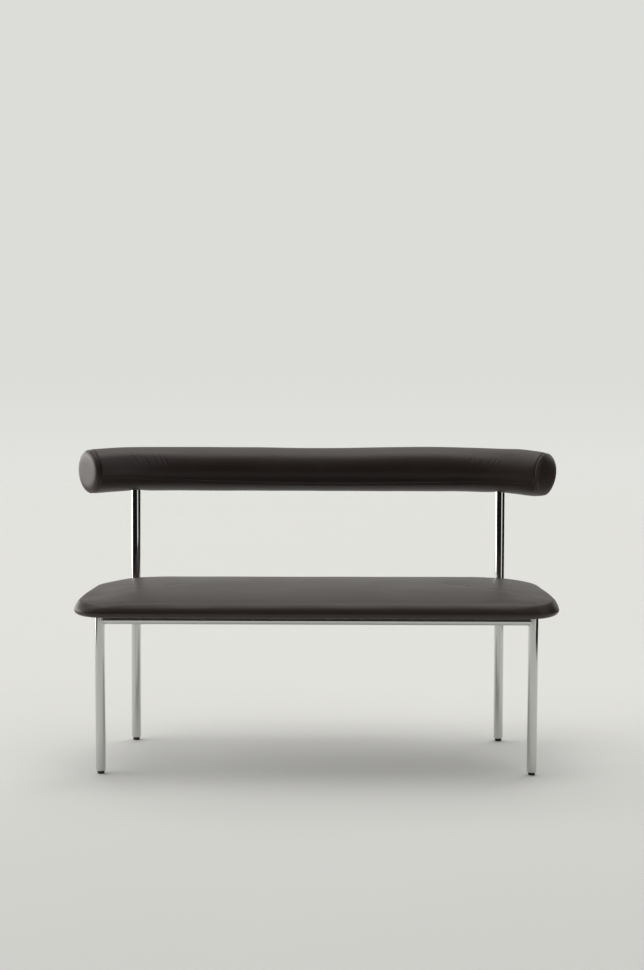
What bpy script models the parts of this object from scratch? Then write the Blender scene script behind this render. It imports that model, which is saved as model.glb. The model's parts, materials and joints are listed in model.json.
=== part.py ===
"""Two-seat sofa: a slim leather seat pad on a chromed tube frame, with a leather bolster for a back.

Metres, +Z up. The origin is on the floor, in the middle of the sofa's box. The front faces -Y, and left and
right are as seen from the front, so left is -X.
"""

import math

import bmesh
import bpy
from mathutils import Matrix, Vector

for old in list(bpy.data.objects):
    bpy.data.objects.remove(old, do_unlink=True)

# Gaps
WELD_GAP = 0.0003
FIT_GAP = 0.0003

# Frame tubes
LEG_DIAMETER = 0.025
RAIL_DIAMETER = 0.022
TUBE_WALL = 0.002
FRONT_LEG_SPACING = 1.096
REAR_LEG_SPACING = 0.980
UPRIGHT_CLEARANCE = 0.004
REAR_LEG_LEAN = math.radians(3.0)
FRONT_LEG_HEIGHT = 0.4115
REAR_RAIL_INSET = 0.080

# Feet
GLIDE_DIAMETER = 0.018
GLIDE_HEIGHT = 0.008
GLIDE_EDGE = 0.0015
GLIDE_STEM_DIAMETER = 0.008
GLIDE_STEM_LENGTH = 0.012
LEG_PLUG_LENGTH = 0.018

# Leather and cloth
LEATHER_THICKNESS = 0.0015
DUST_COVER_THICKNESS = 0.0012

# Seat pad
SEAT_WIDTH = 1.222
SEAT_DEPTH = 0.460
SEAT_FRONT_OVERHANG = 0.075
SEAT_THICKNESS = 0.051
SEAT_EDGE_HEIGHT = 0.0125
SEAT_UNDER_ROUND = 0.012
SEAT_SHOULDER_RISE = 0.021
SEAT_SHOULDER_RUN = 0.0135
SEAT_SHOULDER_POWER = 1.3
SEAT_CROWN_POWER = 2.4
SEAT_FRONT_CORNER = 0.060
SEAT_REAR_CORNER = 0.150
SEAT_SIDE_TAPER = math.radians(5.5)
SEAT_TURN_UNDER = 0.045
SEAT_BOARD_THICKNESS = 0.012

# Seat fixings
TAB_WIDTH = 0.026
TAB_THICKNESS = 0.004
TAB_REACH = 0.045
TAB_SPREAD = 0.600
SIDE_TAB_SETBACK = 0.170
SCREW_DIAMETER = 0.006
SCREW_CLEARANCE = 0.0003
SCREW_HEAD_DIAMETER = 0.011
SCREW_HEAD_HEIGHT = 0.0033
SCREW_SOCKET_DIAMETER = 0.0045
SCREW_SOCKET_DEPTH = 0.002
TEE_NUT_BARREL_DIAMETER = 0.009
TEE_NUT_BARREL_LENGTH = 0.008
TEE_NUT_FLANGE_DIAMETER = 0.019
TEE_NUT_FLANGE_THICKNESS = 0.0016

# Bolster
BOLSTER_DIAMETER = 0.118
BOLSTER_AXIS_HEIGHT = 0.7315
BOLSTER_STRAIGHT = 0.656
BOLSTER_BEND_RADIUS = 0.517
BOLSTER_BEND_ANGLE = math.radians(34.0)
BOLSTER_CORE_DIAMETER = 0.030
BOLSTER_CORE_WALL = 0.0025
BOLSTER_END_BOARD_THICKNESS = 0.012
BOLSTER_CAP_ROUND = 0.012
BOLSTER_CAP_DOME = 0.004

# How finely round shapes are divided, and the least angle of an edge that is shaded sharp
TUBE_SIDES = 24
SMALL_SIDES = 12
HEX_SIDES = 6
BOLSTER_SIDES = 28
BEND_STEPS = 6
STRAIGHT_STEPS = 2
CAP_ROUND_STEPS = 3
CAP_FACE_STEPS = 3
CROWN_STEPS = 5
SHOULDER_STEPS = 3
UNDER_STEPS = 3
FRONT_EDGE_STEPS = 4
FRONT_CORNER_STEPS = 5
REAR_CORNER_STEPS = 8
REAR_EDGE_STEPS = 3
SHARP_ANGLE = math.radians(35)

# Sizes that follow from the ones above
LEG_RADIUS = LEG_DIAMETER / 2
LEG_BORE_RADIUS = LEG_RADIUS - TUBE_WALL
RAIL_RADIUS = RAIL_DIAMETER / 2
RAIL_BORE_RADIUS = RAIL_RADIUS - TUBE_WALL
LEAN_SLOPE = math.tan(REAR_LEG_LEAN)
CORE_RADIUS = BOLSTER_CORE_DIAMETER / 2
BOLSTER_RADIUS = BOLSTER_DIAMETER / 2
BOLSTER_HALF_STRAIGHT = BOLSTER_STRAIGHT / 2
BOLSTER_HALF_LENGTH = BOLSTER_HALF_STRAIGHT + BOLSTER_BEND_RADIUS * BOLSTER_BEND_ANGLE


def bolster_bend_at(distance):
    """Angle that the bolster has turned through, this far along it from its middle."""
    return max(0.0, abs(distance) - BOLSTER_HALF_STRAIGHT) / BOLSTER_BEND_RADIUS


def bolster_forward_at(x):
    """How far the bolster's axis has come forward at this distance to the side of its middle."""
    beyond = max(0.0, abs(x) - BOLSTER_HALF_STRAIGHT)
    return BOLSTER_BEND_RADIUS - math.sqrt(BOLSTER_BEND_RADIUS**2 - beyond**2)


# The tabs lie between the rails and the pad
SEAT_UNDERSIDE = FRONT_LEG_HEIGHT + FIT_GAP
RAIL_AXIS_HEIGHT = FRONT_LEG_HEIGHT - TAB_THICKNESS - WELD_GAP - RAIL_RADIUS

# The uprights pass just behind the pad, level with its underside
SEAT_REAR_SETBACK = SEAT_DEPTH - SEAT_FRONT_OVERHANG
UPRIGHT_SETBACK = SEAT_REAR_SETBACK + UPRIGHT_CLEARANCE + LEG_RADIUS / math.cos(REAR_LEG_LEAN)
REAR_FOOT_SETBACK = UPRIGHT_SETBACK - LEAN_SLOPE * SEAT_UNDERSIDE

# The box runs from the front of the pad to the back of the bolster, which sits on the uprights' axes
REAR_LEG_SETBACK_AT_BOLSTER = REAR_FOOT_SETBACK + LEAN_SLOPE * BOLSTER_AXIS_HEIGHT
BOLSTER_SETBACK = REAR_LEG_SETBACK_AT_BOLSTER + bolster_forward_at(REAR_LEG_SPACING / 2)
OVERALL_DEPTH = SEAT_FRONT_OVERHANG + BOLSTER_SETBACK + BOLSTER_RADIUS
FRONT_LEG_Y = SEAT_FRONT_OVERHANG - OVERALL_DEPTH / 2
REAR_FOOT_Y = FRONT_LEG_Y + REAR_FOOT_SETBACK
REAR_RAIL_Y = REAR_FOOT_Y - REAR_RAIL_INSET
BOLSTER_Y = FRONT_LEG_Y + BOLSTER_SETBACK
SEAT_FRONT_Y = FRONT_LEG_Y - SEAT_FRONT_OVERHANG
SEAT_REAR_Y = SEAT_FRONT_Y + SEAT_DEPTH
SIDES = {"left": -1, "right": 1}


# Materials

def material(name, colour, roughness, metallic=0.0):
    made = bpy.data.materials.new(name)
    made.use_nodes = True
    shader = made.node_tree.nodes["Principled BSDF"]
    shader.inputs["Base Color"].default_value = (*colour, 1.0)
    shader.inputs["Roughness"].default_value = roughness
    shader.inputs["Metallic"].default_value = metallic
    made.diffuse_color = (*colour, 1.0)
    return made


CHROME = material("chrome", (0.62, 0.62, 0.61), 0.08, 1.0)
LEATHER = material("black_leather", (0.018, 0.016, 0.015), 0.38)
GLIDE_PLASTIC = material("black_plastic", (0.012, 0.012, 0.012), 0.45)
ZINC = material("zinc_steel", (0.55, 0.56, 0.57), 0.35, 1.0)
PLYWOOD = material("plywood", (0.58, 0.42, 0.26), 0.65)
FOAM = material("foam", (0.80, 0.74, 0.55), 0.95)
DUST_CLOTH = material("dust_cloth", (0.02, 0.02, 0.022), 0.9)


# Meshes from rings of points

def group(name, location):
    empty = bpy.data.objects.new(name, None)
    empty.location = location
    bpy.context.scene.collection.objects.link(empty)
    return empty


FRAME = group("frame", (0, 0, 0))
SEAT = group("seat", (0, 0, SEAT_UNDERSIDE))
BOLSTER = group("bolster", (0, BOLSTER_Y, BOLSTER_AXIS_HEIGHT))


def add_rings(mesh, rings, looped):
    """Faces between neighbouring rings. Looped rings close on themselves, and others are capped."""
    rows = [[mesh.verts.new(point) for point in ring] for ring in rings]
    pairs = list(zip(rows, rows[1:]))
    if looped:
        pairs.append((rows[-1], rows[0]))
    for first, second in pairs:
        for i in range(len(first)):
            j = (i + 1) % len(first)
            mesh.faces.new((first[i], first[j], second[j], second[i]))
    if not looped:
        mesh.faces.new(rows[0])
        mesh.faces.new(rows[-1])


def solid(name, ring_sets, finish, parent, looped=False):
    """An object whose mesh is made of one or more closed shapes, each a list of rings."""
    mesh = bmesh.new()
    for rings in ring_sets:
        add_rings(mesh, rings, looped)
    bmesh.ops.recalc_face_normals(mesh, faces=mesh.faces)
    data = bpy.data.meshes.new(name)
    mesh.to_mesh(data)
    mesh.free()
    data.shade_smooth()
    data.set_sharp_from_angle(angle=SHARP_ANGLE)
    made = bpy.data.objects.new(name, data)
    made.parent = parent
    bpy.context.scene.collection.objects.link(made)
    if finish:
        data.materials.append(finish)
    return made


def cutter(name, ring_sets, parent):
    made = solid(name, ring_sets, None, parent)
    made.hide_render = True
    made.display_type = "WIRE"
    return made


def cut(target, *cutters):
    for tool in cutters:
        step = target.modifiers.new("cut_by_" + tool.name, "BOOLEAN")
        step.operation = "DIFFERENCE"
        step.solver = "EXACT"
        step.object = tool


def circle(radius, sides, height=0.0):
    turns = [2 * math.pi * i / sides for i in range(sides)]
    return [Vector((radius * math.cos(a), radius * math.sin(a), height)) for a in turns]


def moved(rings, offset):
    return [[point + Vector(offset) for point in ring] for ring in rings]


# Legs, cut level at both ends

def leg_ring(radius, lean, height, sides=TUBE_SIDES):
    """A level cut through a round rod that leans back, at this height above the floor."""
    stretch = 1 / math.cos(lean)
    back = Vector((0, math.tan(lean) * height, height))
    return [Vector((p.x, p.y * stretch, 0)) + back for p in circle(radius, sides)]


def leg_rod(foot, radius, lean, low, high):
    return moved([leg_ring(radius, lean, low), leg_ring(radius, lean, high)], foot)


def leg_tube(name, foot, lean, top):
    rings = [
        leg_ring(LEG_RADIUS, lean, GLIDE_HEIGHT),
        leg_ring(LEG_RADIUS, lean, top),
        leg_ring(LEG_BORE_RADIUS, lean, top),
        leg_ring(LEG_BORE_RADIUS, lean, GLIDE_HEIGHT),
    ]
    return solid(name, [moved(rings, foot)], CHROME, FRAME, looped=True)


def leg_foot(position, foot, lean):
    """The plug in the end of a leg, and the glide whose stem is pushed into it."""
    stem_bore = GLIDE_STEM_DIAMETER / 2 + FIT_GAP
    plug_radius = LEG_BORE_RADIUS - FIT_GAP
    plug_top = GLIDE_HEIGHT + LEG_PLUG_LENGTH
    plug = [
        leg_ring(plug_radius, lean, GLIDE_HEIGHT, SMALL_SIDES),
        leg_ring(plug_radius, lean, plug_top, SMALL_SIDES),
        leg_ring(stem_bore, lean, plug_top, SMALL_SIDES),
        leg_ring(stem_bore, lean, GLIDE_HEIGHT, SMALL_SIDES),
    ]
    solid("leg_plug_" + position, [moved(plug, foot)], ZINC, FRAME, looped=True)
    glide_radius = GLIDE_DIAMETER / 2
    shoulder = GLIDE_HEIGHT - FIT_GAP
    glide = [
        leg_ring(glide_radius - GLIDE_EDGE, lean, 0, SMALL_SIDES),
        leg_ring(glide_radius, lean, GLIDE_EDGE, SMALL_SIDES),
        leg_ring(glide_radius, lean, shoulder, SMALL_SIDES),
        leg_ring(GLIDE_STEM_DIAMETER / 2, lean, shoulder, SMALL_SIDES),
        leg_ring(GLIDE_STEM_DIAMETER / 2, lean, GLIDE_HEIGHT + GLIDE_STEM_LENGTH, SMALL_SIDES),
    ]
    solid("glide_" + position, [moved(glide, foot)], GLIDE_PLASTIC, FRAME)


def front_foot(side):
    return Vector((side * FRONT_LEG_SPACING / 2, FRONT_LEG_Y, 0))


def rear_foot(side):
    return Vector((side * REAR_LEG_SPACING / 2, REAR_FOOT_Y, 0))


rear_legs = []
front_leg_cutters = {}
rear_leg_cutters = {}
for word, side in SIDES.items():
    leg_tube("front_leg_" + word, front_foot(side), 0, FRONT_LEG_HEIGHT)
    leg_foot("front_" + word, front_foot(side), 0)
    rear_legs.append(leg_tube("rear_leg_" + word, rear_foot(side), REAR_LEG_LEAN, BOLSTER_AXIS_HEIGHT))
    leg_foot("rear_" + word, rear_foot(side), REAR_LEG_LEAN)
    weld_radius = LEG_RADIUS + WELD_GAP
    front_rod = leg_rod(front_foot(side), weld_radius, 0, 0, BOLSTER_AXIS_HEIGHT)
    rear_rod = leg_rod(rear_foot(side), weld_radius, REAR_LEG_LEAN, 0, BOLSTER_AXIS_HEIGHT)
    front_leg_cutters[word] = cutter("front_leg_cutter_" + word, [front_rod], FRAME)
    rear_leg_cutters[word] = cutter("rear_leg_cutter_" + word, [rear_rod], FRAME)


# Rails, fitted to the tubes that they are welded to

def rod_rings(start, end, radius):
    turn = (end - start).to_track_quat("Z", "Y")
    ring = [turn @ point for point in circle(radius, TUBE_SIDES)]
    return [[point + place for point in ring] for place in (start, end)]


def rail(name, start, end):
    outer = rod_rings(start, end, RAIL_RADIUS)
    inner = rod_rings(start, end, RAIL_BORE_RADIUS)
    return solid(name, [outer + inner[::-1]], CHROME, FRAME, looped=True)


def rail_cutter(name, start, end):
    return cutter(name, [rod_rings(start, end, RAIL_RADIUS + WELD_GAP)], FRAME)


def at_rail_height(x, y):
    return Vector((x, y, RAIL_AXIS_HEIGHT))


REAR_LEG_Y_AT_RAIL = REAR_FOOT_Y + LEAN_SLOPE * RAIL_AXIS_HEIGHT


def side_rail_ends(side):
    front = at_rail_height(side * FRONT_LEG_SPACING / 2, FRONT_LEG_Y)
    rear = at_rail_height(side * REAR_LEG_SPACING / 2, REAR_LEG_Y_AT_RAIL)
    return front, rear


def side_rail_at(side, y):
    front, rear = side_rail_ends(side)
    return front.lerp(rear, (y - front.y) / (rear.y - front.y))


front_rail_ends = [side_rail_ends(side)[0] for side in SIDES.values()]
front_rail = rail("front_rail", *front_rail_ends)
front_rail_cutter = rail_cutter("front_rail_cutter", *front_rail_ends)
cut(front_rail, *front_leg_cutters.values())
rear_rail = rail("rear_rail", *[side_rail_at(side, REAR_RAIL_Y) for side in SIDES.values()])
for word, side in SIDES.items():
    side_rail = rail("side_rail_" + word, *side_rail_ends(side))
    cut(side_rail, front_leg_cutters[word], rear_leg_cutters[word], front_rail_cutter)
    cut(rear_rail, rail_cutter("side_rail_cutter_" + word, *side_rail_ends(side)))


# Seat pad: every layer follows one outline and one section

SEAT_HALF_DEPTH = SEAT_DEPTH / 2
SEAT_HALF_WIDTH = SEAT_WIDTH / 2
SEAT_MIDDLE_Y = (SEAT_FRONT_Y + SEAT_REAR_Y) / 2
SEAT_CROWN = SEAT_THICKNESS - SEAT_EDGE_HEIGHT - SEAT_SHOULDER_RISE
# The crown stops just short of the pad's long middle line, which its rings close towards
CROWN_REACH = 0.95


def along(start, end, steps):
    return [start.lerp(end, i / steps) for i in range(steps)]


def arc(centre, radius, start, end, steps):
    turns = [start + (end - start) * i / steps for i in range(steps + 1)]
    return [centre + Vector((radius * math.cos(a), radius * math.sin(a), 0)) for a in turns]


def seat_outline():
    """The pad's plan: a straight front, sides that draw in towards the back, and wide rear corners."""
    front = Vector((0, SEAT_FRONT_Y, 0))
    rear = Vector((0, SEAT_REAR_Y, 0))
    nose_x = SEAT_HALF_WIDTH - SEAT_FRONT_CORNER
    nose = Vector((nose_x, SEAT_FRONT_Y + SEAT_FRONT_CORNER, 0))
    sweep_y = SEAT_REAR_Y - SEAT_REAR_CORNER
    drawn_in = SEAT_REAR_CORNER - SEAT_FRONT_CORNER + (sweep_y - nose.y) * math.sin(SEAT_SIDE_TAPER)
    sweep = Vector((nose_x - drawn_in / math.cos(SEAT_SIDE_TAPER), sweep_y, 0))
    quarter = math.pi / 2
    nose_arc = arc(nose, SEAT_FRONT_CORNER, -quarter, SEAT_SIDE_TAPER, FRONT_CORNER_STEPS)
    sweep_arc = arc(sweep, SEAT_REAR_CORNER, SEAT_SIDE_TAPER, quarter, REAR_CORNER_STEPS)
    right = along(front, nose_arc[0], FRONT_EDGE_STEPS) + nose_arc + sweep_arc
    right += along(sweep_arc[-1], rear, REAR_EDGE_STEPS)[1:] + [rear]
    left = [Vector((-p.x, p.y, 0)) for p in right[-2:0:-1]]
    return right + left


def seat_ring(inset, height):
    """A ring of the pad this far in from its front: its plan, on its way to the long middle line."""
    share = inset / SEAT_HALF_DEPTH
    narrowing = (SEAT_HALF_WIDTH - SEAT_HALF_DEPTH) / SEAT_HALF_WIDTH
    closed = [p.lerp(Vector((p.x * narrowing, SEAT_MIDDLE_Y, 0)), share) for p in seat_outline()]
    return [Vector((p.x, p.y, height)) for p in closed]


def top_insets():
    """Insets from the pad's middle down its crown and its shoulder, short of the widest line."""
    crown = SEAT_HALF_DEPTH * CROWN_REACH - SEAT_SHOULDER_RUN
    down_crown = [SEAT_SHOULDER_RUN + crown * (i / CROWN_STEPS) ** 2 for i in range(CROWN_STEPS, -1, -1)]
    turns = [math.pi / 2 * i / SHOULDER_STEPS for i in range(SHOULDER_STEPS - 1, 0, -1)]
    return down_crown + [SEAT_SHOULDER_RUN * (1 - math.cos(a)) for a in turns]


def top_section(depth):
    """(inset, height) points from the pad's middle to its widest line, this deep under the skin."""
    points = []
    for inset in top_insets():
        rest = max(0.0, 1 - inset / SEAT_SHOULDER_RUN)
        fall = 1 - inset / SEAT_HALF_DEPTH
        climb = 1 - rest**SEAT_SHOULDER_POWER
        shoulder = SEAT_SHOULDER_RISE * climb ** (1 / SEAT_SHOULDER_POWER)
        crown = SEAT_CROWN * (1 - fall**SEAT_CROWN_POWER)
        slope = SEAT_CROWN * SEAT_CROWN_POWER / SEAT_HALF_DEPTH * fall ** (SEAT_CROWN_POWER - 1)
        steepening = (rest / climb ** (1 / SEAT_SHOULDER_POWER)) ** (SEAT_SHOULDER_POWER - 1)
        slope += SEAT_SHOULDER_RISE / SEAT_SHOULDER_RUN * steepening
        inward = Vector((slope, -1)).normalized()
        height = SEAT_EDGE_HEIGHT + shoulder + crown
        points.append((inset + depth * inward.x, height + depth * inward.y))
    return points


def under_section(depth):
    """(inset, height) points from the widest line down to the flat underside, this deep under the skin."""
    points = []
    for i in range(UNDER_STEPS + 1):
        a = math.pi / 2 * i / UNDER_STEPS
        inset = SEAT_UNDER_ROUND * (1 - math.cos(a))
        height = SEAT_EDGE_HEIGHT * (1 - math.sin(a))
        inward = Vector((SEAT_EDGE_HEIGHT * math.cos(a), SEAT_UNDER_ROUND * math.sin(a))).normalized()
        points.append((inset + depth * inward.x, height + depth * inward.y))
    return points


def seat_section(depth):
    return top_section(depth) + under_section(depth)


BOARD_BOTTOM = LEATHER_THICKNESS + FIT_GAP
BOARD_TOP = BOARD_BOTTOM + SEAT_BOARD_THICKNESS
BOARD_INSET = SEAT_UNDER_ROUND + LEATHER_THICKNESS + 2 * FIT_GAP

leather_section = seat_section(0) + [(SEAT_TURN_UNDER, 0), (SEAT_TURN_UNDER, LEATHER_THICKNESS)]
leather_section += seat_section(LEATHER_THICKNESS)[::-1]
solid("seat_cover", [[seat_ring(*point) for point in leather_section]], LEATHER, SEAT)

foam_section = seat_section(LEATHER_THICKNESS + FIT_GAP)
foam_section += [(BOARD_INSET - FIT_GAP, BOARD_BOTTOM), (BOARD_INSET - FIT_GAP, BOARD_TOP + FIT_GAP)]
solid("seat_foam", [[seat_ring(*point) for point in foam_section]], FOAM, SEAT)

board_rings = [seat_ring(BOARD_INSET, BOARD_TOP), seat_ring(BOARD_INSET, BOARD_BOTTOM)]
seat_board = solid("seat_board", [board_rings], PLYWOOD, SEAT)

dust_inset = SEAT_TURN_UNDER + FIT_GAP
dust_rings = [seat_ring(dust_inset, DUST_COVER_THICKNESS), seat_ring(dust_inset, 0)]
dust_cover = solid("seat_dust_cover", [dust_rings], DUST_CLOTH, SEAT)


# Seat fixings: tabs on the rails, with a screw through each into a tee nut in the board

TAB_START = -RAIL_RADIUS / 2
TAB_TOP = -FIT_GAP
SCREW_RADIUS = SCREW_DIAMETER / 2
HOLE_RADIUS = SCREW_RADIUS + SCREW_CLEARANCE
TEE_NUT_TOP = BOARD_TOP
TEE_NUT_SHOULDER = TEE_NUT_TOP - TEE_NUT_FLANGE_THICKNESS
TEE_NUT_BOTTOM = TEE_NUT_SHOULDER - TEE_NUT_BARREL_LENGTH
HEAD_TOP = TAB_TOP - TAB_THICKNESS - FIT_GAP
SCREW_TIP = TEE_NUT_TOP - FIT_GAP


def tab_outline(height):
    """Square at the rail's end and round at the other, about a hole TAB_REACH from the rail's axis."""
    half = TAB_WIDTH / 2
    outer = [
        Vector((half * math.cos(a), TAB_REACH + half * math.sin(a), height))
        for a in (math.pi * i / SMALL_SIDES for i in range(SMALL_SIDES + 1))
    ]
    return outer + [Vector((-half, TAB_START, height)), Vector((half, TAB_START, height))]


def tab_places():
    """Where each tab meets the axis of its rail, and the direction that it points in."""
    places = []
    for word, side in SIDES.items():
        x = side * TAB_SPREAD / 2
        places.append(("front_" + word, Vector((x, FRONT_LEG_Y, 0)), 0.0))
        places.append(("rear_" + word, Vector((x, REAR_RAIL_Y, 0)), math.pi))
        front, rear = side_rail_ends(side)
        skew = math.atan2(rear.x - front.x, rear.y - front.y)
        on_rail = side_rail_at(side, FRONT_LEG_Y + SIDE_TAB_SETBACK)
        places.append(("side_" + word, Vector((on_rail.x, on_rail.y, 0)), side * math.pi / 2 - skew))
    return places


screw_holes = []
tee_nut_holes = []
tabs = []
for position, on_rail, turn in tab_places():
    tab_rings = [tab_outline(TAB_TOP), tab_outline(TAB_TOP - TAB_THICKNESS)]
    tab = solid("seat_tab_" + position, [tab_rings], CHROME, SEAT)
    tab.location = on_rail
    tab.rotation_euler.z = turn
    tabs.append(tab)
    hole = on_rail + Matrix.Rotation(turn, 3, "Z") @ Vector((0, TAB_REACH, 0))

    # A hexagon socket in a rounded head, and the shank above it
    head_radius = SCREW_HEAD_DIAMETER / 2
    head_bottom = HEAD_TOP - SCREW_HEAD_HEIGHT
    socket_radius = SCREW_SOCKET_DIAMETER / 2
    screw_rings = [
        circle(SCREW_RADIUS, SMALL_SIDES, SCREW_TIP),
        circle(SCREW_RADIUS, SMALL_SIDES, HEAD_TOP),
        circle(head_radius, SMALL_SIDES, HEAD_TOP),
        circle((head_radius + socket_radius) / 2, SMALL_SIDES, head_bottom),
    ]
    screw = solid("seat_screw_" + position, [screw_rings], ZINC, SEAT)
    screw.location = hole
    socket_rings = [
        circle(socket_radius, HEX_SIDES, head_bottom - SCREW_SOCKET_DEPTH),
        circle(socket_radius, HEX_SIDES, head_bottom + SCREW_SOCKET_DEPTH),
    ]
    cut(screw, cutter("socket_cutter_" + position, [moved(socket_rings, hole)], SEAT))

    barrel_radius = TEE_NUT_BARREL_DIAMETER / 2
    flange_radius = TEE_NUT_FLANGE_DIAMETER / 2
    tee_nut_rings = [
        circle(flange_radius, SMALL_SIDES, TEE_NUT_TOP),
        circle(flange_radius, SMALL_SIDES, TEE_NUT_SHOULDER),
        circle(barrel_radius, SMALL_SIDES, TEE_NUT_SHOULDER),
        circle(barrel_radius, SMALL_SIDES, TEE_NUT_BOTTOM),
        circle(HOLE_RADIUS, SMALL_SIDES, TEE_NUT_BOTTOM),
        circle(HOLE_RADIUS, SMALL_SIDES, TEE_NUT_TOP),
    ]
    tee_nut = solid("seat_tee_nut_" + position, [tee_nut_rings], ZINC, SEAT, looped=True)
    tee_nut.location = hole

    screw_hole = [circle(HOLE_RADIUS, SMALL_SIDES, HEAD_TOP), circle(HOLE_RADIUS, SMALL_SIDES, BOARD_TOP)]
    screw_holes.append(moved(screw_hole, hole))
    above_board = BOARD_TOP + SEAT_BOARD_THICKNESS
    below_board = BOARD_BOTTOM - SEAT_BOARD_THICKNESS
    tee_nut_hole = [
        circle(flange_radius + FIT_GAP, SMALL_SIDES, above_board),
        circle(flange_radius + FIT_GAP, SMALL_SIDES, TEE_NUT_SHOULDER - FIT_GAP),
        circle(barrel_radius + FIT_GAP, SMALL_SIDES, TEE_NUT_SHOULDER - FIT_GAP),
        circle(barrel_radius + FIT_GAP, SMALL_SIDES, below_board),
    ]
    tee_nut_holes.append(moved(tee_nut_hole, hole))

screw_hole_cutter = cutter("screw_hole_cutter", screw_holes, SEAT)
cut(dust_cover, screw_hole_cutter)
for tab in tabs:
    cut(tab, screw_hole_cutter)
cut(seat_board, cutter("tee_nut_hole_cutter", tee_nut_holes, SEAT))


# Bolster: rings square to an axis that is straight in the middle and bends forward at both ends

def bolster_frame(distance):
    """Point on the bolster's axis and the level direction to its back, this far along it from its middle."""
    side = math.copysign(1, distance)
    bend = bolster_bend_at(distance)
    straight = min(abs(distance), BOLSTER_HALF_STRAIGHT)
    x = straight + BOLSTER_BEND_RADIUS * math.sin(bend)
    y = BOLSTER_BEND_RADIUS * (math.cos(bend) - 1)
    back = Vector((side * math.sin(bend), math.cos(bend), 0))
    return Vector((side * x, y, 0)), back


def bolster_ring(distance, radius, sides):
    point, back = bolster_frame(distance)
    turns = [2 * math.pi * i / sides for i in range(sides)]
    return [point + radius * (math.cos(a) * back + math.sin(a) * Vector((0, 0, 1))) for a in turns]


CAP_FACE = BOLSTER_HALF_LENGTH
CAP_RIM = CAP_FACE - BOLSTER_CAP_DOME - BOLSTER_CAP_ROUND
END_BOARD_OUTER = CAP_FACE - BOLSTER_CAP_DOME - LEATHER_THICKNESS - FIT_GAP
END_BOARD_INNER = END_BOARD_OUTER - BOLSTER_END_BOARD_THICKNESS
END_BOARD_RADIUS = BOLSTER_RADIUS - BOLSTER_CAP_ROUND
FOAM_END = min(END_BOARD_INNER, CAP_RIM) - FIT_GAP
FOAM_RADIUS = BOLSTER_RADIUS - LEATHER_THICKNESS - FIT_GAP


def bolster_stations(end):
    """Distances along the axis from end to end, the same in every layer as far as the foam goes."""
    bend_length = FOAM_END - BOLSTER_HALF_STRAIGHT
    bends = [BOLSTER_HALF_STRAIGHT + bend_length * i / BEND_STEPS for i in range(1, BEND_STEPS + 1)]
    if end > FOAM_END:
        bends.append(end)
    middle = [BOLSTER_HALF_STRAIGHT * (2 * i / STRAIGHT_STEPS - 1) for i in range(STRAIGHT_STEPS + 1)]
    return [-d for d in bends[::-1]] + middle + bends


def bolster_tube(name, end, outer_radius, inner_radius, sides, finish):
    stations = bolster_stations(end)
    outer = [bolster_ring(d, outer_radius, sides) for d in stations]
    inner = [bolster_ring(d, inner_radius, sides) for d in stations[::-1]]
    return solid(name, [outer + inner], finish, BOLSTER, looped=True)


core_bore = CORE_RADIUS - BOLSTER_CORE_WALL
bolster_tube("bolster_core", END_BOARD_OUTER, CORE_RADIUS, core_bore, SMALL_SIDES, CHROME)
core_stations = bolster_stations(END_BOARD_OUTER)
core_rings = [bolster_ring(d, CORE_RADIUS + WELD_GAP, SMALL_SIDES) for d in core_stations]
core_cutter = cutter("core_cutter", [core_rings], BOLSTER)
for leg in rear_legs:
    cut(leg, core_cutter)

foam_bore = CORE_RADIUS + FIT_GAP
bolster_foam = bolster_tube("bolster_foam", FOAM_END, FOAM_RADIUS, foam_bore, BOLSTER_SIDES, FOAM)
cover_end = CAP_RIM - FIT_GAP
cover_bore = BOLSTER_RADIUS - LEATHER_THICKNESS
bolster_cover = bolster_tube("bolster_cover", cover_end, BOLSTER_RADIUS, cover_bore, BOLSTER_SIDES, LEATHER)
cut(bolster_foam, *rear_leg_cutters.values())
cut(bolster_cover, *rear_leg_cutters.values())


def cap_section(depth):
    """(radius, distance) points of an end cap from its middle to its rim, this deep under the skin."""
    flat = BOLSTER_RADIUS - BOLSTER_CAP_ROUND
    points = []
    for i in range(1, CAP_FACE_STEPS + 1):
        share = i / CAP_FACE_STEPS
        points.append((flat * share, CAP_FACE - BOLSTER_CAP_DOME * share**2 - depth))
    for i in range(1, CAP_ROUND_STEPS + 1):
        a = math.pi / 2 * i / CAP_ROUND_STEPS
        bend = BOLSTER_CAP_ROUND - depth
        points.append((flat + bend * math.sin(a), CAP_RIM + bend * math.cos(a)))
    return points


for word, side in SIDES.items():
    board_rings = [
        bolster_ring(side * END_BOARD_OUTER, END_BOARD_RADIUS, BOLSTER_SIDES),
        bolster_ring(side * END_BOARD_INNER, END_BOARD_RADIUS, BOLSTER_SIDES),
        bolster_ring(side * END_BOARD_INNER, CORE_RADIUS + FIT_GAP, BOLSTER_SIDES),
        bolster_ring(side * END_BOARD_OUTER, CORE_RADIUS + FIT_GAP, BOLSTER_SIDES),
    ]
    solid("bolster_end_board_" + word, [board_rings], PLYWOOD, BOLSTER, looped=True)
    section = cap_section(0) + cap_section(LEATHER_THICKNESS)[::-1]
    cap_rings = [bolster_ring(side * distance, radius, BOLSTER_SIDES) for radius, distance in section]
    solid("bolster_end_cap_" + word, [cap_rings], LEATHER, BOLSTER)
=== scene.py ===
"""Looks of the two-seat sofa: a chromed tube frame, a leather seat pad and a leather bolster for a back.

Metres, +Z up. The front faces -Y, and left is -X. Each piece sits where its solid is in the frame.
"""

import json
import math
import random

import bmesh
import bpy
from mathutils import Matrix, Vector, noise

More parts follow.
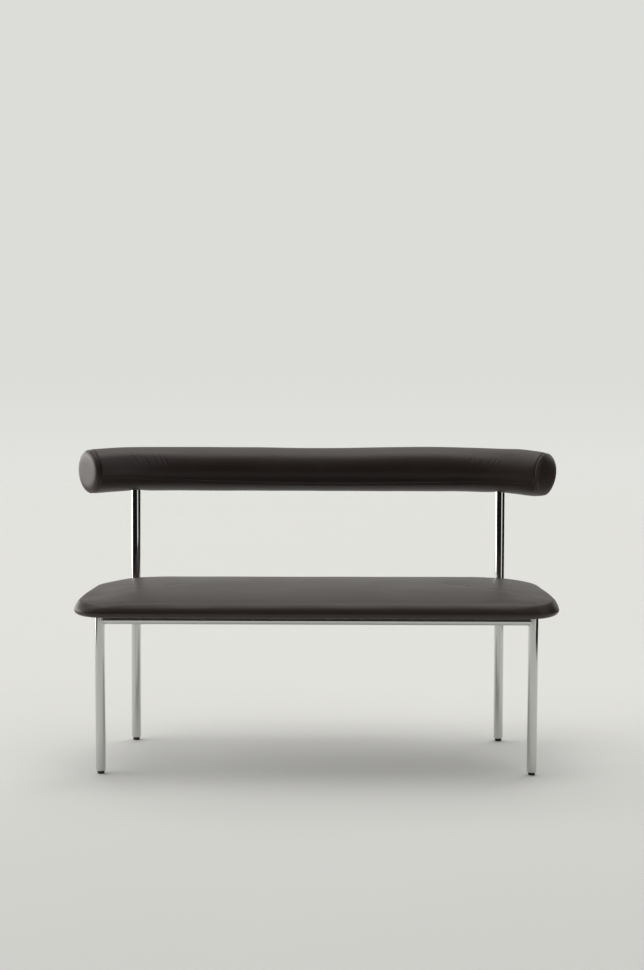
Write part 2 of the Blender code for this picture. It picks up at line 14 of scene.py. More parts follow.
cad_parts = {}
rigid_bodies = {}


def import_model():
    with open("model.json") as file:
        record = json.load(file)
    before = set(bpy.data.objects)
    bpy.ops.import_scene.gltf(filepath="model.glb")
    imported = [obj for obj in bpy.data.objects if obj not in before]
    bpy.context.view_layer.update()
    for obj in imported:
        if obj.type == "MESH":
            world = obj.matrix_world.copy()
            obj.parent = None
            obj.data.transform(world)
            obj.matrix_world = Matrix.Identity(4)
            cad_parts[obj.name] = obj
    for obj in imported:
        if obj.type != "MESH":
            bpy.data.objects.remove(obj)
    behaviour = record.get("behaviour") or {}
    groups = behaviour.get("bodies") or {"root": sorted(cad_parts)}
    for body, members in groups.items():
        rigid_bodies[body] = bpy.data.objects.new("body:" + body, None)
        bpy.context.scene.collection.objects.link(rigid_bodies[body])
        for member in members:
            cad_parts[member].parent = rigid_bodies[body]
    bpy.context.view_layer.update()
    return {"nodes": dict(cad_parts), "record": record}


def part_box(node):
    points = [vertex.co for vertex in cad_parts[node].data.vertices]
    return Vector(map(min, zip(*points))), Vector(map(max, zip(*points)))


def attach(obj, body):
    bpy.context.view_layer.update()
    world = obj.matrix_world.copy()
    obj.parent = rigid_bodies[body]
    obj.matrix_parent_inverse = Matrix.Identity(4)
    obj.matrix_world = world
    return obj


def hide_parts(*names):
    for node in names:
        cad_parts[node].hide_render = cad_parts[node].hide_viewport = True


for old in list(bpy.data.objects):
    bpy.data.objects.remove(old, do_unlink=True)
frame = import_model()


# Legs
# Four lengths of 25 mm steel tube, polished and chromed with the rails that are welded to them.
# The rear pair leans back and runs on above the seat as the uprights that carry the bolster.

SIDES = {"left": -1, "right": 1}
UP = Vector((0, 0, 1))
SHARP_ANGLE = math.radians(40)
TUBE_STEPS = 72
TUBE_WALL = 0.002
TUBE_EDGE = 0.0006
EDGE_STEPS = 3
REAR_LEAN = math.radians(3.0)
CHROME_COLOUR = (0.62, 0.62, 0.61, 1.0)
CHROME_CLOUD_SCALE = 18.0
CHROME_CLOUD_DETAIL = 4.0
CHROME_ROUGH_LOW = 0.045
CHROME_ROUGH_HIGH = 0.095
CHROME_GRAIN_SCALE = 900.0
CHROME_GRAIN_DETAIL = 2.0
CHROME_GRAIN_HEIGHT = 0.000004

feet = {mount["name"][len("foot_"):]: Vector(mount["pos_m"]) for mount in frame["record"]["mounts"]}
leg_low, leg_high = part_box("front_leg_left")
LEG_RADIUS = (leg_high.x - leg_low.x) / 2
LEG_BORE_RADIUS = LEG_RADIUS - TUBE_WALL
LEG_BOTTOM = leg_low.z
FRONT_LEG_TOP = leg_high.z
UPRIGHT_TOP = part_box("bolster_core")[0].z


def node(tree, kind, inputs, **settings):
    """A shader node: each input is a value, or the output of another node."""
    made = tree.nodes.new("ShaderNode" + kind)
    for key, value in settings.items():
        setattr(made, key, value)
    for socket, value in inputs.items():
        if isinstance(value, bpy.types.NodeSocket):
            tree.links.new(value, made.inputs[socket])
        else:
            made.inputs[socket].default_value = value
    return made


def new_finish(name, **constants):
    """A material, its node tree and its shader, with the values that hold all over the surface."""
    finish = bpy.data.materials.new(name)
    finish.use_nodes = True
    tree = finish.node_tree
    shader = tree.nodes["Principled BSDF"]
    for socket, value in constants.items():
        shader.inputs[socket.replace("_", " ")].default_value = value
    return finish, tree, shader


def place_in(tree):
    """The point on the surface, in metres."""
    return tree.nodes.new("ShaderNodeTexCoord").outputs["Object"]


def noise_over(tree, place, scale, detail):
    """A cloudy 0 to 1 pattern over the surface."""
    return node(tree, "TexNoise", {"Vector": place, "Scale": scale, "Detail": detail}).outputs["Fac"]


def tint(tree, value, low, high):
    """A 0 to 1 pattern, coloured between two colours."""
    mix = node(tree, "Mix", {"Factor": value, "A": low, "B": high}, data_type="RGBA")
    return mix.outputs["Result"]


def vary_colour(tree, shader, value, low, high):
    """Colours the surface between two colours by a 0 to 1 pattern."""
    tree.links.new(tint(tree, value, low, high), shader.inputs["Base Color"])


def vary_roughness(tree, shader, value, low, high):
    """Makes the surface rougher where a 0 to 1 pattern is higher."""
    rough = node(tree, "MapRange", {"Value": value, "To Min": low, "To Max": high})
    tree.links.new(rough.outputs["Result"], shader.inputs["Roughness"])


def raise_surface(tree, shader, height, distance):
    """Makes a 0 to 1 pattern stand out of the surface by up to a distance."""
    bump = node(tree, "Bump", {"Height": height, "Distance": distance})
    tree.links.new(bump.outputs["Normal"], shader.inputs["Normal"])


def bright_chrome():
    """Polished chrome: faint clouds in the polish, and a grain too fine to see from a step away."""
    finish, tree, shader = new_finish("bright_chrome", Base_Color=CHROME_COLOUR, Metallic=1.0)
    place = place_in(tree)
    cloud = noise_over(tree, place, CHROME_CLOUD_SCALE, CHROME_CLOUD_DETAIL)
    vary_roughness(tree, shader, cloud, CHROME_ROUGH_LOW, CHROME_ROUGH_HIGH)
    grain = noise_over(tree, place, CHROME_GRAIN_SCALE, CHROME_GRAIN_DETAIL)
    raise_surface(tree, shader, grain, CHROME_GRAIN_HEIGHT)
    return finish


def join_rings(mesh, near, far):
    """Faces all round between two rings."""
    for i in range(len(near)):
        j = (i + 1) % len(near)
        mesh.faces.new((near[i], near[j], far[j], far[i]))


def lay_rings(mesh, rings):
    """Puts rings of points into a mesh, each joined to the next, and gives its new rings."""
    rows = [[mesh.verts.new(point) for point in ring] for ring in rings]
    for near, far in zip(rows, rows[1:]):
        join_rings(mesh, near, far)
    return rows


def lay_rod(mesh, rings):
    """Puts a skin over rings of points into a mesh, capped at both ends."""
    rows = lay_rings(mesh, rings)
    mesh.faces.new(rows[0])
    mesh.faces.new(rows[-1])


def piece_from(name, mesh):
    """A smooth piece with sharp corners, from a finished mesh."""
    bmesh.ops.recalc_face_normals(mesh, faces=mesh.faces)
    data = bpy.data.meshes.new(name)
    mesh.to_mesh(data)
    mesh.free()
    data.shade_smooth()
    data.set_sharp_from_angle(angle=SHARP_ANGLE)
    piece = bpy.data.objects.new(name, data)
    bpy.context.scene.collection.objects.link(piece)
    return piece


def loft(name, rings, looped=False):
    """A piece with a skin over rings of points. It is capped at both ends, unless the rings loop."""
    mesh = bmesh.new()
    if looped:
        rows = lay_rings(mesh, rings)
        join_rings(mesh, rows[-1], rows[0])
    else:
        lay_rod(mesh, rings)
    return piece_from(name, mesh)


def fit(piece, finish, slot, *nodes):
    """Gives a piece its finish, and its place on the sofa instead of the solids that it stands for."""
    piece.data.materials.append(finish)
    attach(piece, "root")
    if nodes:
        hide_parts(*nodes)
    return piece


def refinish(name, finish):
    """Gives a solid that is shown as it is a better finish."""
    piece = frame["nodes"][name]
    piece.data.materials.clear()
    piece.data.materials.append(finish)


def turns_of(steps):
    """Angles all the way round."""
    return [2 * math.pi * i / steps for i in range(steps)]


def quarter_turn(steps):
    """Angles from 0 to a right angle."""
    return [math.pi / 2 * i / steps for i in range(steps + 1)]


def ring_about(centre, one, other, steps):
    """A ring of points round a centre, through the tips of two half axes."""
    return [centre + math.cos(a) * one + math.sin(a) * other for a in turns_of(steps)]


def level_ring(foot, lean, height, radius, steps=TUBE_STEPS):
    """A level cut through a round rod that stands on foot and leans back, at this height."""
    centre = foot + Vector((0, math.tan(lean) * height, height))
    return ring_about(centre, Vector((radius, 0, 0)), Vector((0, radius / math.cos(lean), 0)), steps)


def rounded_foot(radius, bottom, edge, steps):
    """(radius, height) points round the lower edge of a round rod."""
    turns = quarter_turn(steps)
    return [(radius - edge * (1 - math.sin(a)), bottom + edge * (1 - math.cos(a))) for a in turns]


def leg_profile(top):
    """(radius, height) up the outside of a leg from its rounded lower edge, and down its bore."""
    edge = rounded_foot(LEG_RADIUS, LEG_BOTTOM, TUBE_EDGE, EDGE_STEPS)
    bore = [(LEG_BORE_RADIUS, top), (LEG_BORE_RADIUS, LEG_BOTTOM + TUBE_EDGE)]
    return [(LEG_BORE_RADIUS + TUBE_EDGE, LEG_BOTTOM), *edge, (LEG_RADIUS, top), *bore]


chrome = bright_chrome()
leans = {"front": 0.0, "rear": REAR_LEAN}
leg_tops = {"front": FRONT_LEG_TOP, "rear": UPRIGHT_TOP}
for position, foot in feet.items():
    row, word = position.split("_")
    rings = [level_ring(foot, leans[row], height, radius) for radius, height in leg_profile(leg_tops[row])]
    fit(loft(f"chromed_{row}_leg_{word}", rings, looped=True), chrome, "chrome", f"{row}_leg_{word}")


# Rails
# Slimmer tube, its ends coped to sit round the tube that they meet, and welded all round.
# The front rail and the side rails meet at the front legs, and the rear rail runs between the side rails.

WELD_RADIUS = 0.0016
WELD_STEPS = 10

rail_low, rail_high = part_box("front_rail")
rear_rail_low, rear_rail_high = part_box("rear_rail")
RAIL_RADIUS = (rail_high.z - rail_low.z) / 2
RAIL_BORE_RADIUS = RAIL_RADIUS - TUBE_WALL
RAIL_HEIGHT = rail_high.z - RAIL_RADIUS
REAR_RAIL_Y = (rear_rail_low.y + rear_rail_high.y) / 2


def leg_line(position):
    """A point on a leg's axis at the height of the rails, the axis's direction and the leg's radius."""
    lean = leans[position.split("_")[0]]
    slope = Vector((0, math.tan(lean), 1))
    return feet[position] + slope * RAIL_HEIGHT, slope.normalized(), LEG_RADIUS


def where_it_meets(point, heading, line, last):
    """How far along heading a line from point meets the round tube about line, first or last."""
    middle, axis, radius = line
    across = point - middle
    across -= across.dot(axis) * axis
    run = heading - heading.dot(axis) * axis
    a = run.dot(run)
    b = across.dot(run)
    c = across.dot(across) - radius**2
    root = math.sqrt(max(0.0, b * b - a * c))
    return (-b + root) / a if last else (-b - root) / a


def rail_rings(start, end, start_line, end_line, radius):
    """The two coped end rings of a rail whose axis runs between two points."""
    heading = (end - start).normalized()
    turn = heading.to_track_quat("Z", "Y")
    near, far = [], []
    for a in turns_of(TUBE_STEPS):
        side = turn @ Vector((radius * math.cos(a), radius * math.sin(a), 0))
        near.append(start + side + heading * where_it_meets(start + side, heading, start_line, True))
        far.append(start + side + heading * where_it_meets(start + side, heading, end_line, False))
    return near, far


def bead(name, path, middle):
    """A round bead along a closed line of points about a middle."""
    rings = []
    for i, point in enumerate(path):
        along = (path[(i + 1) % len(path)] - path[i - 1]).normalized()
        out = point - middle
        out = (out - out.dot(along) * along).normalized()
        rings.append(ring_about(point, WELD_RADIUS * out, WELD_RADIUS * along.cross(out), WELD_STEPS))
    return loft(name, rings, looped=True)


def rail(name, start, end, start_line, end_line):
    """A rail between two tubes, each given as leg_line gives it, with a weld at both ends."""
    near, far = rail_rings(start, end, start_line, end_line, RAIL_RADIUS)
    bore_near, bore_far = rail_rings(start, end, start_line, end_line, RAIL_BORE_RADIUS)
    fit(loft("chromed_" + name, [near, far, bore_far, bore_near], looped=True), chrome, "chrome", name)
    fit(bead(f"{name}_first_weld", near, start), chrome, "chrome")
    fit(bead(f"{name}_second_weld", far, end), chrome, "chrome")


front_lines = {word: leg_line("front_" + word) for word in SIDES}
rear_lines = {word: leg_line("rear_" + word) for word in SIDES}
left_line, right_line = front_lines.values()
rail("front_rail", left_line[0], right_line[0], left_line, right_line)
side_lines = {}
rear_rail_ends = []
for word in SIDES:
    start, end = front_lines[word][0], rear_lines[word][0]
    rail("side_rail_" + word, start, end, front_lines[word], rear_lines[word])
    heading = (end - start).normalized()
    side_lines[word] = (start, heading, RAIL_RADIUS)
    rear_rail_ends.append(start + heading * ((REAR_RAIL_Y - start.y) / heading.y))
rail("rear_rail", *rear_rail_ends, *side_lines.values())


# Feet
# A turned steel plug in the end of each leg, bored for the stem of a moulded black glide.
# The glide is narrower than the tube, so that the leg seems to stand just clear of the floor.

FIT_GAP = 0.0003
GLIDE_STEPS = 48
GLIDE_EDGE = 0.0016
GLIDE_EDGE_STEPS = 4
GLIDE_RIM = 0.0006
GLIDE_STEM_RADIUS = 0.004
GLIDE_STEM_LENGTH = 0.012
PLASTIC_COLOUR_LOW = (0.010, 0.010, 0.010, 1.0)
PLASTIC_COLOUR_HIGH = (0.020, 0.020, 0.021, 1.0)
PLASTIC_ROUGHNESS = 0.42
PLASTIC_GRAIN_SCALE = 2600.0
PLASTIC_GRAIN_DETAIL = 3.0
PLASTIC_GRAIN_HEIGHT = 0.00006
ZINC_COLOUR_LOW = (0.44, 0.45, 0.46, 1.0)
ZINC_COLOUR_HIGH = (0.60, 0.61, 0.62, 1.0)
ZINC_SPANGLE_SCALE = 420.0
ZINC_ROUGH_LOW = 0.24
ZINC_ROUGH_HIGH = 0.40
ZINC_GRAIN_HEIGHT = 0.00002


def moulded_plastic():
    """Black plastic with the fine spark texture of its mould."""
    finish, tree, shader = new_finish("moulded_plastic", Roughness=PLASTIC_ROUGHNESS)
    grain = noise_over(tree, place_in(tree), PLASTIC_GRAIN_SCALE, PLASTIC_GRAIN_DETAIL)
    vary_colour(tree, shader, grain, PLASTIC_COLOUR_LOW, PLASTIC_COLOUR_HIGH)
    raise_surface(tree, shader, grain, PLASTIC_GRAIN_HEIGHT)
    return finish


def zinc_plate():
    """Zinc plating, with its patchy spangle."""
    finish, tree, shader = new_finish("zinc_plate", Metallic=1.0)
    cells = node(tree, "TexVoronoi", {"Vector": place_in(tree), "Scale": ZINC_SPANGLE_SCALE})
    spangle = cells.outputs["Distance"]
    vary_colour(tree, shader, spangle, ZINC_COLOUR_LOW, ZINC_COLOUR_HIGH)
    vary_roughness(tree, shader, spangle, ZINC_ROUGH_LOW, ZINC_ROUGH_HIGH)
    raise_surface(tree, shader, spangle, ZINC_GRAIN_HEIGHT)
    return finish


glide_plastic = moulded_plastic()
zinc = zinc_plate()
glide_low, glide_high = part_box("glide_front_left")
GLIDE_RADIUS = (glide_high.x - glide_low.x) / 2
GLIDE_SHOULDER = LEG_BOTTOM - FIT_GAP


def glide_profile():
    """(radius, height) of a glide from its rounded sole to the top of its stem."""
    return [
        *rounded_foot(GLIDE_RADIUS, 0.0, GLIDE_EDGE, GLIDE_EDGE_STEPS),
        (GLIDE_RADIUS, GLIDE_SHOULDER - GLIDE_RIM),
        (GLIDE_RADIUS - GLIDE_RIM, GLIDE_SHOULDER),
        (GLIDE_STEM_RADIUS, GLIDE_SHOULDER),
        (GLIDE_STEM_RADIUS, LEG_BOTTOM + GLIDE_STEM_LENGTH),
    ]


for position, foot in feet.items():
    lean = leans[position.split("_")[0]]
    rings = [level_ring(foot, lean, height, radius, GLIDE_STEPS) for radius, height in glide_profile()]
    fit(loft("moulded_glide_" + position, rings), glide_plastic, "black_plastic", "glide_" + position)
    refinish("leg_plug_" + position, zinc)


# Seat tabs and tee nuts
# Flat steel tabs, welded on top of the rails and chromed with them, with a hole for a screw.
# The tee nuts are zinc-plated, and are driven into the top of the board before the pad is upholstered.

TAB_EDGE = 0.0005
TAB_EDGE_STEPS = 2
TAB_REACH = 0.045
TAB_WELD_LENGTH = 0.020
TAB_WELD_OFFSET = 0.006
TAB_WELD_DROP = 0.0012
TAB_WELD_STEPS = 12
TAB_WELD_POWER = 4
TAB_POSITIONS = [f"{row}_{word}" for row in ("front", "rear", "side") for word in SIDES]

for position in TAB_POSITIONS:
    refinish("seat_tab_" + position, chrome)
    refinish("seat_tee_nut_" + position, zinc)
    softened = frame["nodes"]["seat_tab_" + position].modifiers.new("softened_edges", "BEVEL")
    softened.width = TAB_EDGE
    softened.segments = TAB_EDGE_STEPS
    softened.limit_method = "ANGLE"

    # A bead under the tab, in the corner between it and the rail's inner side
    tab_low, tab_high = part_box("seat_tab_" + position)
    screw_low, screw_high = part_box("seat_screw_" + position)
    tab_middle = (tab_low + tab_high) / 2
    hole = (screw_low + screw_high) / 2
    inward = Vector((hole.x - tab_middle.x, hole.y - tab_middle.y, 0)).normalized()
    beside = UP.cross(inward)
    on_rail = hole - inward * (TAB_REACH - TAB_WELD_OFFSET)
    rings = []
    for i in range(TAB_WELD_STEPS + 1):
        share = 2 * (i + 0.5) / (TAB_WELD_STEPS + 1) - 1
        radius = WELD_RADIUS * math.sqrt(1 - share**TAB_WELD_POWER)
        middle = on_rail + beside * share * TAB_WELD_LENGTH / 2
        middle.z = tab_low.z - TAB_WELD_DROP
        rings.append(ring_about(middle, radius * inward, radius * UP, WELD_STEPS))
    fit(loft(f"seat_tab_{position}_weld", rings), chrome, "chrome")


# Seat board
# A sheet of birch plywood, sawn to the pad's plan and bored for six tee nuts.

PLY_THICKNESS = 0.0014
PLYWOOD_LIGHT = (0.66, 0.50, 0.32, 1.0)
PLYWOOD_DARK = (0.46, 0.31, 0.18, 1.0)
PLYWOOD_GRAIN = (9.0, 160.0, 160.0)
PLYWOOD_GRAIN_DETAIL = 6.0
PLYWOOD_ROUGHNESS = 0.62
PLYWOOD_GRAIN_HEIGHT = 0.00012


def worked(tree, operation, *values):
    """A number that is worked out from others at each point."""
    return node(tree, "Math", dict(enumerate(values)), operation=operation).outputs["Value"]


def drawn_out(tree, place, scales, detail):
    """A cloudy 0 to 1 pattern, longest along the axis with the smallest scale."""
    stretched = node(tree, "Mapping", {"Vector": place, "Scale": scales}).outputs["Vector"]
    return noise_over(tree, stretched, 1.0, detail)


def birch_plywood():
    """Birch faces with a fine grain along the board, and bands of glue lines on the sawn edges."""
    finish, tree, shader = new_finish("birch_plywood", Roughness=PLYWOOD_ROUGHNESS)
    place = place_in(tree)
    grain = drawn_out(tree, place, PLYWOOD_GRAIN, PLYWOOD_GRAIN_DETAIL)
    height = node(tree, "SeparateXYZ", {"Vector": place}).outputs["Z"]
    plies = worked(tree, "PINGPONG", height, 2 * PLY_THICKNESS)
    ply = worked(tree, "MULTIPLY", plies, 1 / PLY_THICKNESS)
    shade = worked(tree, "MULTIPLY", grain, ply)
    vary_colour(tree, shader, shade, PLYWOOD_LIGHT, PLYWOOD_DARK)
    raise_surface(tree, shader, grain, PLYWOOD_GRAIN_HEIGHT)
    return finish


plywood = birch_plywood()
refinish("seat_board", plywood)


# Seat pad
# Crowned foam on the board, under one black hide that is pulled over it, turned under and stapled.
# Its front is straight, its sides draw in towards the back, and its rear corners sweep round.

SEAT_FRONT_CORNER = 0.060
SEAT_REAR_CORNER = 0.129
SEAT_REAR_SWEEP = 0.210
SEAT_SIDE_TAPER = math.radians(5.73)
SEAT_EDGE_HEIGHT = 0.0125
SEAT_UNDER_ROUND = 0.012
SEAT_SHOULDER_RISE = 0.021
SEAT_SHOULDER_RUN = 0.0135
SEAT_SHOULDER_POWER = 1.3
SEAT_CROWN_POWER = 2.4
SEAT_TIP_RISE = 0.0168
SEAT_TIP_REACH = 0.055
SEAT_TURN_UNDER = 0.045
LEATHER_THICKNESS = 0.0015
SEAT_FRONT_STEPS = 48
SEAT_NOSE_STEPS = 28
SEAT_SIDE_STEPS = 14
SEAT_SWEEP_STEPS = 52
SEAT_REAR_STEPS = 36
SEAT_CROWN_STEPS = 34
SEAT_CROWN_CROWDING = 1.6
SEAT_SHOULDER_STEPS = 14
SEAT_UNDER_STEPS = 10
SEAT_TURN_STEPS = 7
SEAT_LEAN = 0.0017
FULLNESS_SHARE = 0.5
END_FULLNESS = {-1: 0.0055, 1: 0.0066}
END_FULLNESS_REACH = 0.030
END_LIFT = {-1: 0.0028, 1: 0.0050}
END_LIFT_REACH = 0.056
END_LIFT_FRONT_FADE = 0.024
END_LIFT_REAR_FADE = 0.006
LEFT_FLATNESS = 0.0022
LEFT_FLATNESS_PLACE = -0.545
LEFT_FLATNESS_REACH = 0.035
HIDE_WAVE_HEIGHT = 0.0005
HIDE_WAVES = 9.0
PLEAT_DEPTH = 0.0009
PLEAT_PITCH = 0.017
SETTLE_STEPS = 20
SETTLE_PRESSURE = 0.15
SETTLE_RISE = 0.002

LEATHER_DARK = (0.0245, 0.0136, 0.0118, 1.0)
LEATHER_LIGHT = (0.044, 0.0290, 0.0260, 1.0)
LEATHER_CLOUD_SCALE = 7.0
LEATHER_CLOUD_DETAIL = 5.0
LEATHER_ROUGH_LOW = 0.36
LEATHER_ROUGH_HIGH = 0.50
LEATHER_PEBBLE_SCALE = 640.0
LEATHER_PORE_SCALE = 2400.0
LEATHER_PORE_DETAIL = 2.0
LEATHER_PORE_SHARE = 0.35
LEATHER_GRAIN_HEIGHT = 0.00016

seat_low, seat_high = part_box("seat_cover")
board_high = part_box("seat_board")[1]
SEAT_UNDERSIDE = seat_low.z
SEAT_HALF_WIDTH = (seat_high.x - seat_low.x) / 2
SEAT_HALF_DEPTH = (seat_high.y - seat_low.y) / 2
SEAT_MIDDLE_Y = (seat_high.y + seat_low.y) / 2
SEAT_FULL_HEIGHT = seat_high.z - seat_low.z
SEAT_FULL_HEIGHT -= SETTLE_RISE


def black_leather():
    """Black hide: a pebbled grain with pores in it, and slow changes of colour and gloss across it."""
    finish, tree, shader = new_finish("black_leather")
    place = place_in(tree)
    cloud = noise_over(tree, place, LEATHER_CLOUD_SCALE, LEATHER_CLOUD_DETAIL)
    pebbles = {"Vector": place, "Scale": LEATHER_PEBBLE_SCALE}
    pebble = node(tree, "TexVoronoi", pebbles, feature="SMOOTH_F1").outputs["Distance"]
    pore = noise_over(tree, place, LEATHER_PORE_SCALE, LEATHER_PORE_DETAIL)
    grain = node(tree, "Mix", {"Factor": LEATHER_PORE_SHARE, "A": pebble, "B": pore}).outputs["Result"]
    vary_colour(tree, shader, cloud, LEATHER_DARK, LEATHER_LIGHT)
    vary_roughness(tree, shader, cloud, LEATHER_ROUGH_LOW, LEATHER_ROUGH_HIGH)
    raise_surface(tree, shader, grain, LEATHER_GRAIN_HEIGHT)
    return finish


def along(start, end, steps):
    """Points from start up to, but without, end."""
    return [start.lerp(end, i / steps) for i in range(steps)]


def arc(centre, across, back, start, end, steps):
    """Part of an oval from one turn to another, given half its width and half its depth."""
    turns = [start + (end - start) * i / steps for i in range(steps + 1)]
    return [centre + Vector((across * math.cos(a), back * math.sin(a), 0)) for a in turns]


def seat_outline():
    """The pad's plan, from the middle of its front round to the right."""
    front = Vector((0, seat_low.y, 0))
    rear = Vector((0, seat_high.y, 0))
    quarter = math.pi / 2
    slope = math.tan(SEAT_SIDE_TAPER)
    nose = Vector((SEAT_HALF_WIDTH - SEAT_FRONT_CORNER, seat_low.y + SEAT_FRONT_CORNER, 0))
    nose_arc = arc(nose, SEAT_FRONT_CORNER, SEAT_FRONT_CORNER, -quarter, SEAT_SIDE_TAPER, SEAT_NOSE_STEPS)
    turn = math.atan(slope * SEAT_REAR_SWEEP / SEAT_REAR_CORNER)
    middle = Vector((0, seat_high.y - SEAT_REAR_SWEEP, 0))
    sweep_arc = arc(middle, SEAT_REAR_CORNER, SEAT_REAR_SWEEP, turn, quarter, SEAT_SWEEP_STEPS)
    side_end = nose_arc[-1].x - slope * (sweep_arc[0].y - nose_arc[-1].y)
    shift = Vector((side_end - sweep_arc[0].x, 0, 0))
    sweep_arc = [p + shift for p in sweep_arc]
    right = along(front, nose_arc[0], SEAT_FRONT_STEPS) + nose_arc[:-1]
    right += along(nose_arc[-1], sweep_arc[0], SEAT_SIDE_STEPS) + sweep_arc[:-1]
    right += along(sweep_arc[-1], rear, SEAT_REAR_STEPS) + [rear]
    left = [Vector((-p.x, p.y, 0)) for p in right[-2:0:-1]]
    return right + left


SEAT_OUTLINE = seat_outline()


def dip(distance, width):
    """1 where the distance is 0, and less and less away from there."""
    return math.exp(-((distance / width) ** 2))


def eased(value, start, end):
    """Goes smoothly from 0 to 1 as a value goes from start to end."""
    share = min(1.0, max(0.0, (value - start) / (end - start)))
    return share * share * (3 - 2 * share)


def ripple(place, pitch):
    """Goes from 1 to 0 and back to 1 in every pitch."""
    return 0.5 + 0.5 * math.cos(2 * math.pi * place / pitch)


def side_of(x):
    return int(math.copysign(1, x))


def seat_ring(inset, height):
    """A ring of the pad this far in from its front: its plan, on its way to the long middle line."""
    share = inset / SEAT_HALF_DEPTH
    narrowing = (SEAT_HALF_WIDTH - SEAT_HALF_DEPTH) / SEAT_HALF_WIDTH
    closed = [p.lerp(Vector((p.x * narrowing, SEAT_MIDDLE_Y, 0)), share) for p in SEAT_OUTLINE]
    return [Vector((p.x, p.y, SEAT_UNDERSIDE + height)) for p in closed]


def shoulder_rise(edge):
    """How high the shoulder stands at a point of the plan: the pull of the hide thins the front corners."""
    tip = Vector((SEAT_HALF_WIDTH, seat_low.y + SEAT_FRONT_CORNER, 0))
    away = (Vector((abs(edge.x), edge.y, 0)) - tip).length
    return SEAT_SHOULDER_RISE - (SEAT_SHOULDER_RISE - SEAT_TIP_RISE) * dip(away, SEAT_TIP_REACH)


def top_height(inset, edge):
    """How high the pad's top is this far in from its edge: up a steep shoulder, then over a low crown."""
    rest = max(0.0, 1 - inset / SEAT_SHOULDER_RUN)
    fall = max(0.0, 1 - inset / SEAT_HALF_DEPTH)
    rise = shoulder_rise(edge)
    shoulder = rise * (1 - rest**SEAT_SHOULDER_POWER) ** (1 / SEAT_SHOULDER_POWER)
    crown = SEAT_FULL_HEIGHT - SEAT_EDGE_HEIGHT - rise
    return SEAT_EDGE_HEIGHT + shoulder + crown * (1 - fall**SEAT_CROWN_POWER)


def top_ring(inset):
    """A ring of the pad's top, over the ring this far in along its plan."""
    flat = seat_ring(inset, 0.0)
    return [p + UP * top_height(inset, edge) for p, edge in zip(flat, SEAT_OUTLINE)]


def top_insets():
    """Insets from the pad's middle line down its crown and its shoulder, to its widest line."""
    insets = []
    for i in range(SEAT_CROWN_STEPS):
        share = (1 - (i + 0.5) / SEAT_CROWN_STEPS) ** SEAT_CROWN_CROWDING
        insets.append(SEAT_SHOULDER_RUN + (SEAT_HALF_DEPTH - SEAT_SHOULDER_RUN) * share)
    for a in quarter_turn(SEAT_SHOULDER_STEPS)[:-1]:
        insets.append(SEAT_SHOULDER_RUN * (1 - math.sin(a)))
    return insets


def under_section():
    """(inset, height) points from the pad's widest line, round its lower edge and in to the turned edge."""
    points = []
    for a in quarter_turn(SEAT_UNDER_STEPS):
        points.append((SEAT_UNDER_ROUND * (1 - math.cos(a)), SEAT_EDGE_HEIGHT * (1 - math.sin(a))))
    for i in range(1, SEAT_TURN_STEPS + 1):
        points.append((SEAT_UNDER_ROUND + (SEAT_TURN_UNDER - SEAT_UNDER_ROUND) * i / SEAT_TURN_STEPS, 0.0))
    return points


def board_recess():
    """(inset, height) points of the hollow that the board fills, from the turned edge up and in."""
    edge = seat_high.x - board_high.x - FIT_GAP
    roof = board_high.z + FIT_GAP - SEAT_UNDERSIDE
    return [(SEAT_TURN_UNDER, LEATHER_THICKNESS), (edge, LEATHER_THICKNESS), (edge, roof)]


def fold_over(mesh, row):
    """Closes a ring with faces from its front half to its rear half, down to a triangle at each end."""
    half = len(row) // 2
    for i in range(half // 2):
        right = (row[i], row[i + 1], row[half - i - 1], row[half - i])
        left = (row[-i], row[half + i], row[half + i + 1], row[-i - 1])
        mesh.faces.new(list(dict.fromkeys(right)))
        mesh.faces.new(list(dict.fromkeys(left)))


def folded(name, rings):
    """A piece with a skin over rings of the pad's plan, the first and last folded shut."""
    mesh = bmesh.new()
    rows = lay_rings(mesh, rings)
    fold_over(mesh, rows[0])
    fold_over(mesh, rows[-1])
    return piece_from(name, mesh)


def waves(point):
    """The slow unevenness of foam under a hide."""
    return HIDE_WAVE_HEIGHT * noise.noise(HIDE_WAVES * point)


def stuffed(point):
    """How much higher the top is here than drawn: both ends are stuffed fuller, the right one more."""
    share = max(0.0, point.z - SEAT_UNDERSIDE - SEAT_EDGE_HEIGHT) / (SEAT_FULL_HEIGHT - SEAT_EDGE_HEIGHT)
    fuller = END_FULLNESS[side_of(point.x)] * dip(SEAT_HALF_WIDTH - abs(point.x), END_FULLNESS_REACH)
    flatter = LEFT_FLATNESS * dip(point.x - LEFT_FLATNESS_PLACE, LEFT_FLATNESS_REACH)
    return min(1.0, share / FULLNESS_SHARE) * (SEAT_LEAN * point.x + fuller - flatter + waves(point))


def turned_up(point, under):
    """How far the pull of the hide turns the pad's ends up. Underneath, it fades out towards the board."""
    rise = END_LIFT[side_of(point.x)] * dip(SEAT_HALF_WIDTH - abs(point.x), END_LIFT_REACH)
    rearward = eased(point.y, seat_low.y + SEAT_FRONT_CORNER, SEAT_MIDDLE_Y)
    fade = END_LIFT_FRONT_FADE + (END_LIFT_REAR_FADE - END_LIFT_FRONT_FADE) * rearward
    return rise * (1 - eased(under, 0.0, fade))


def pleat(point, inset):
    """How far the turned edge is gathered up at the pad's corners, in folds that run towards the edge."""
    under = (inset - SEAT_UNDER_ROUND) / (SEAT_TURN_UNDER - SEAT_UNDER_ROUND)
    if under <= 0 or abs(point.x) < SEAT_HALF_WIDTH - SEAT_REAR_CORNER:
        return 0.0
    turn = math.atan2(point.y - SEAT_MIDDLE_Y, abs(point.x) - SEAT_HALF_WIDTH + SEAT_REAR_CORNER)
    return PLEAT_DEPTH * min(1.0, under) * ripple(turn * SEAT_REAR_CORNER, PLEAT_PITCH) ** 2


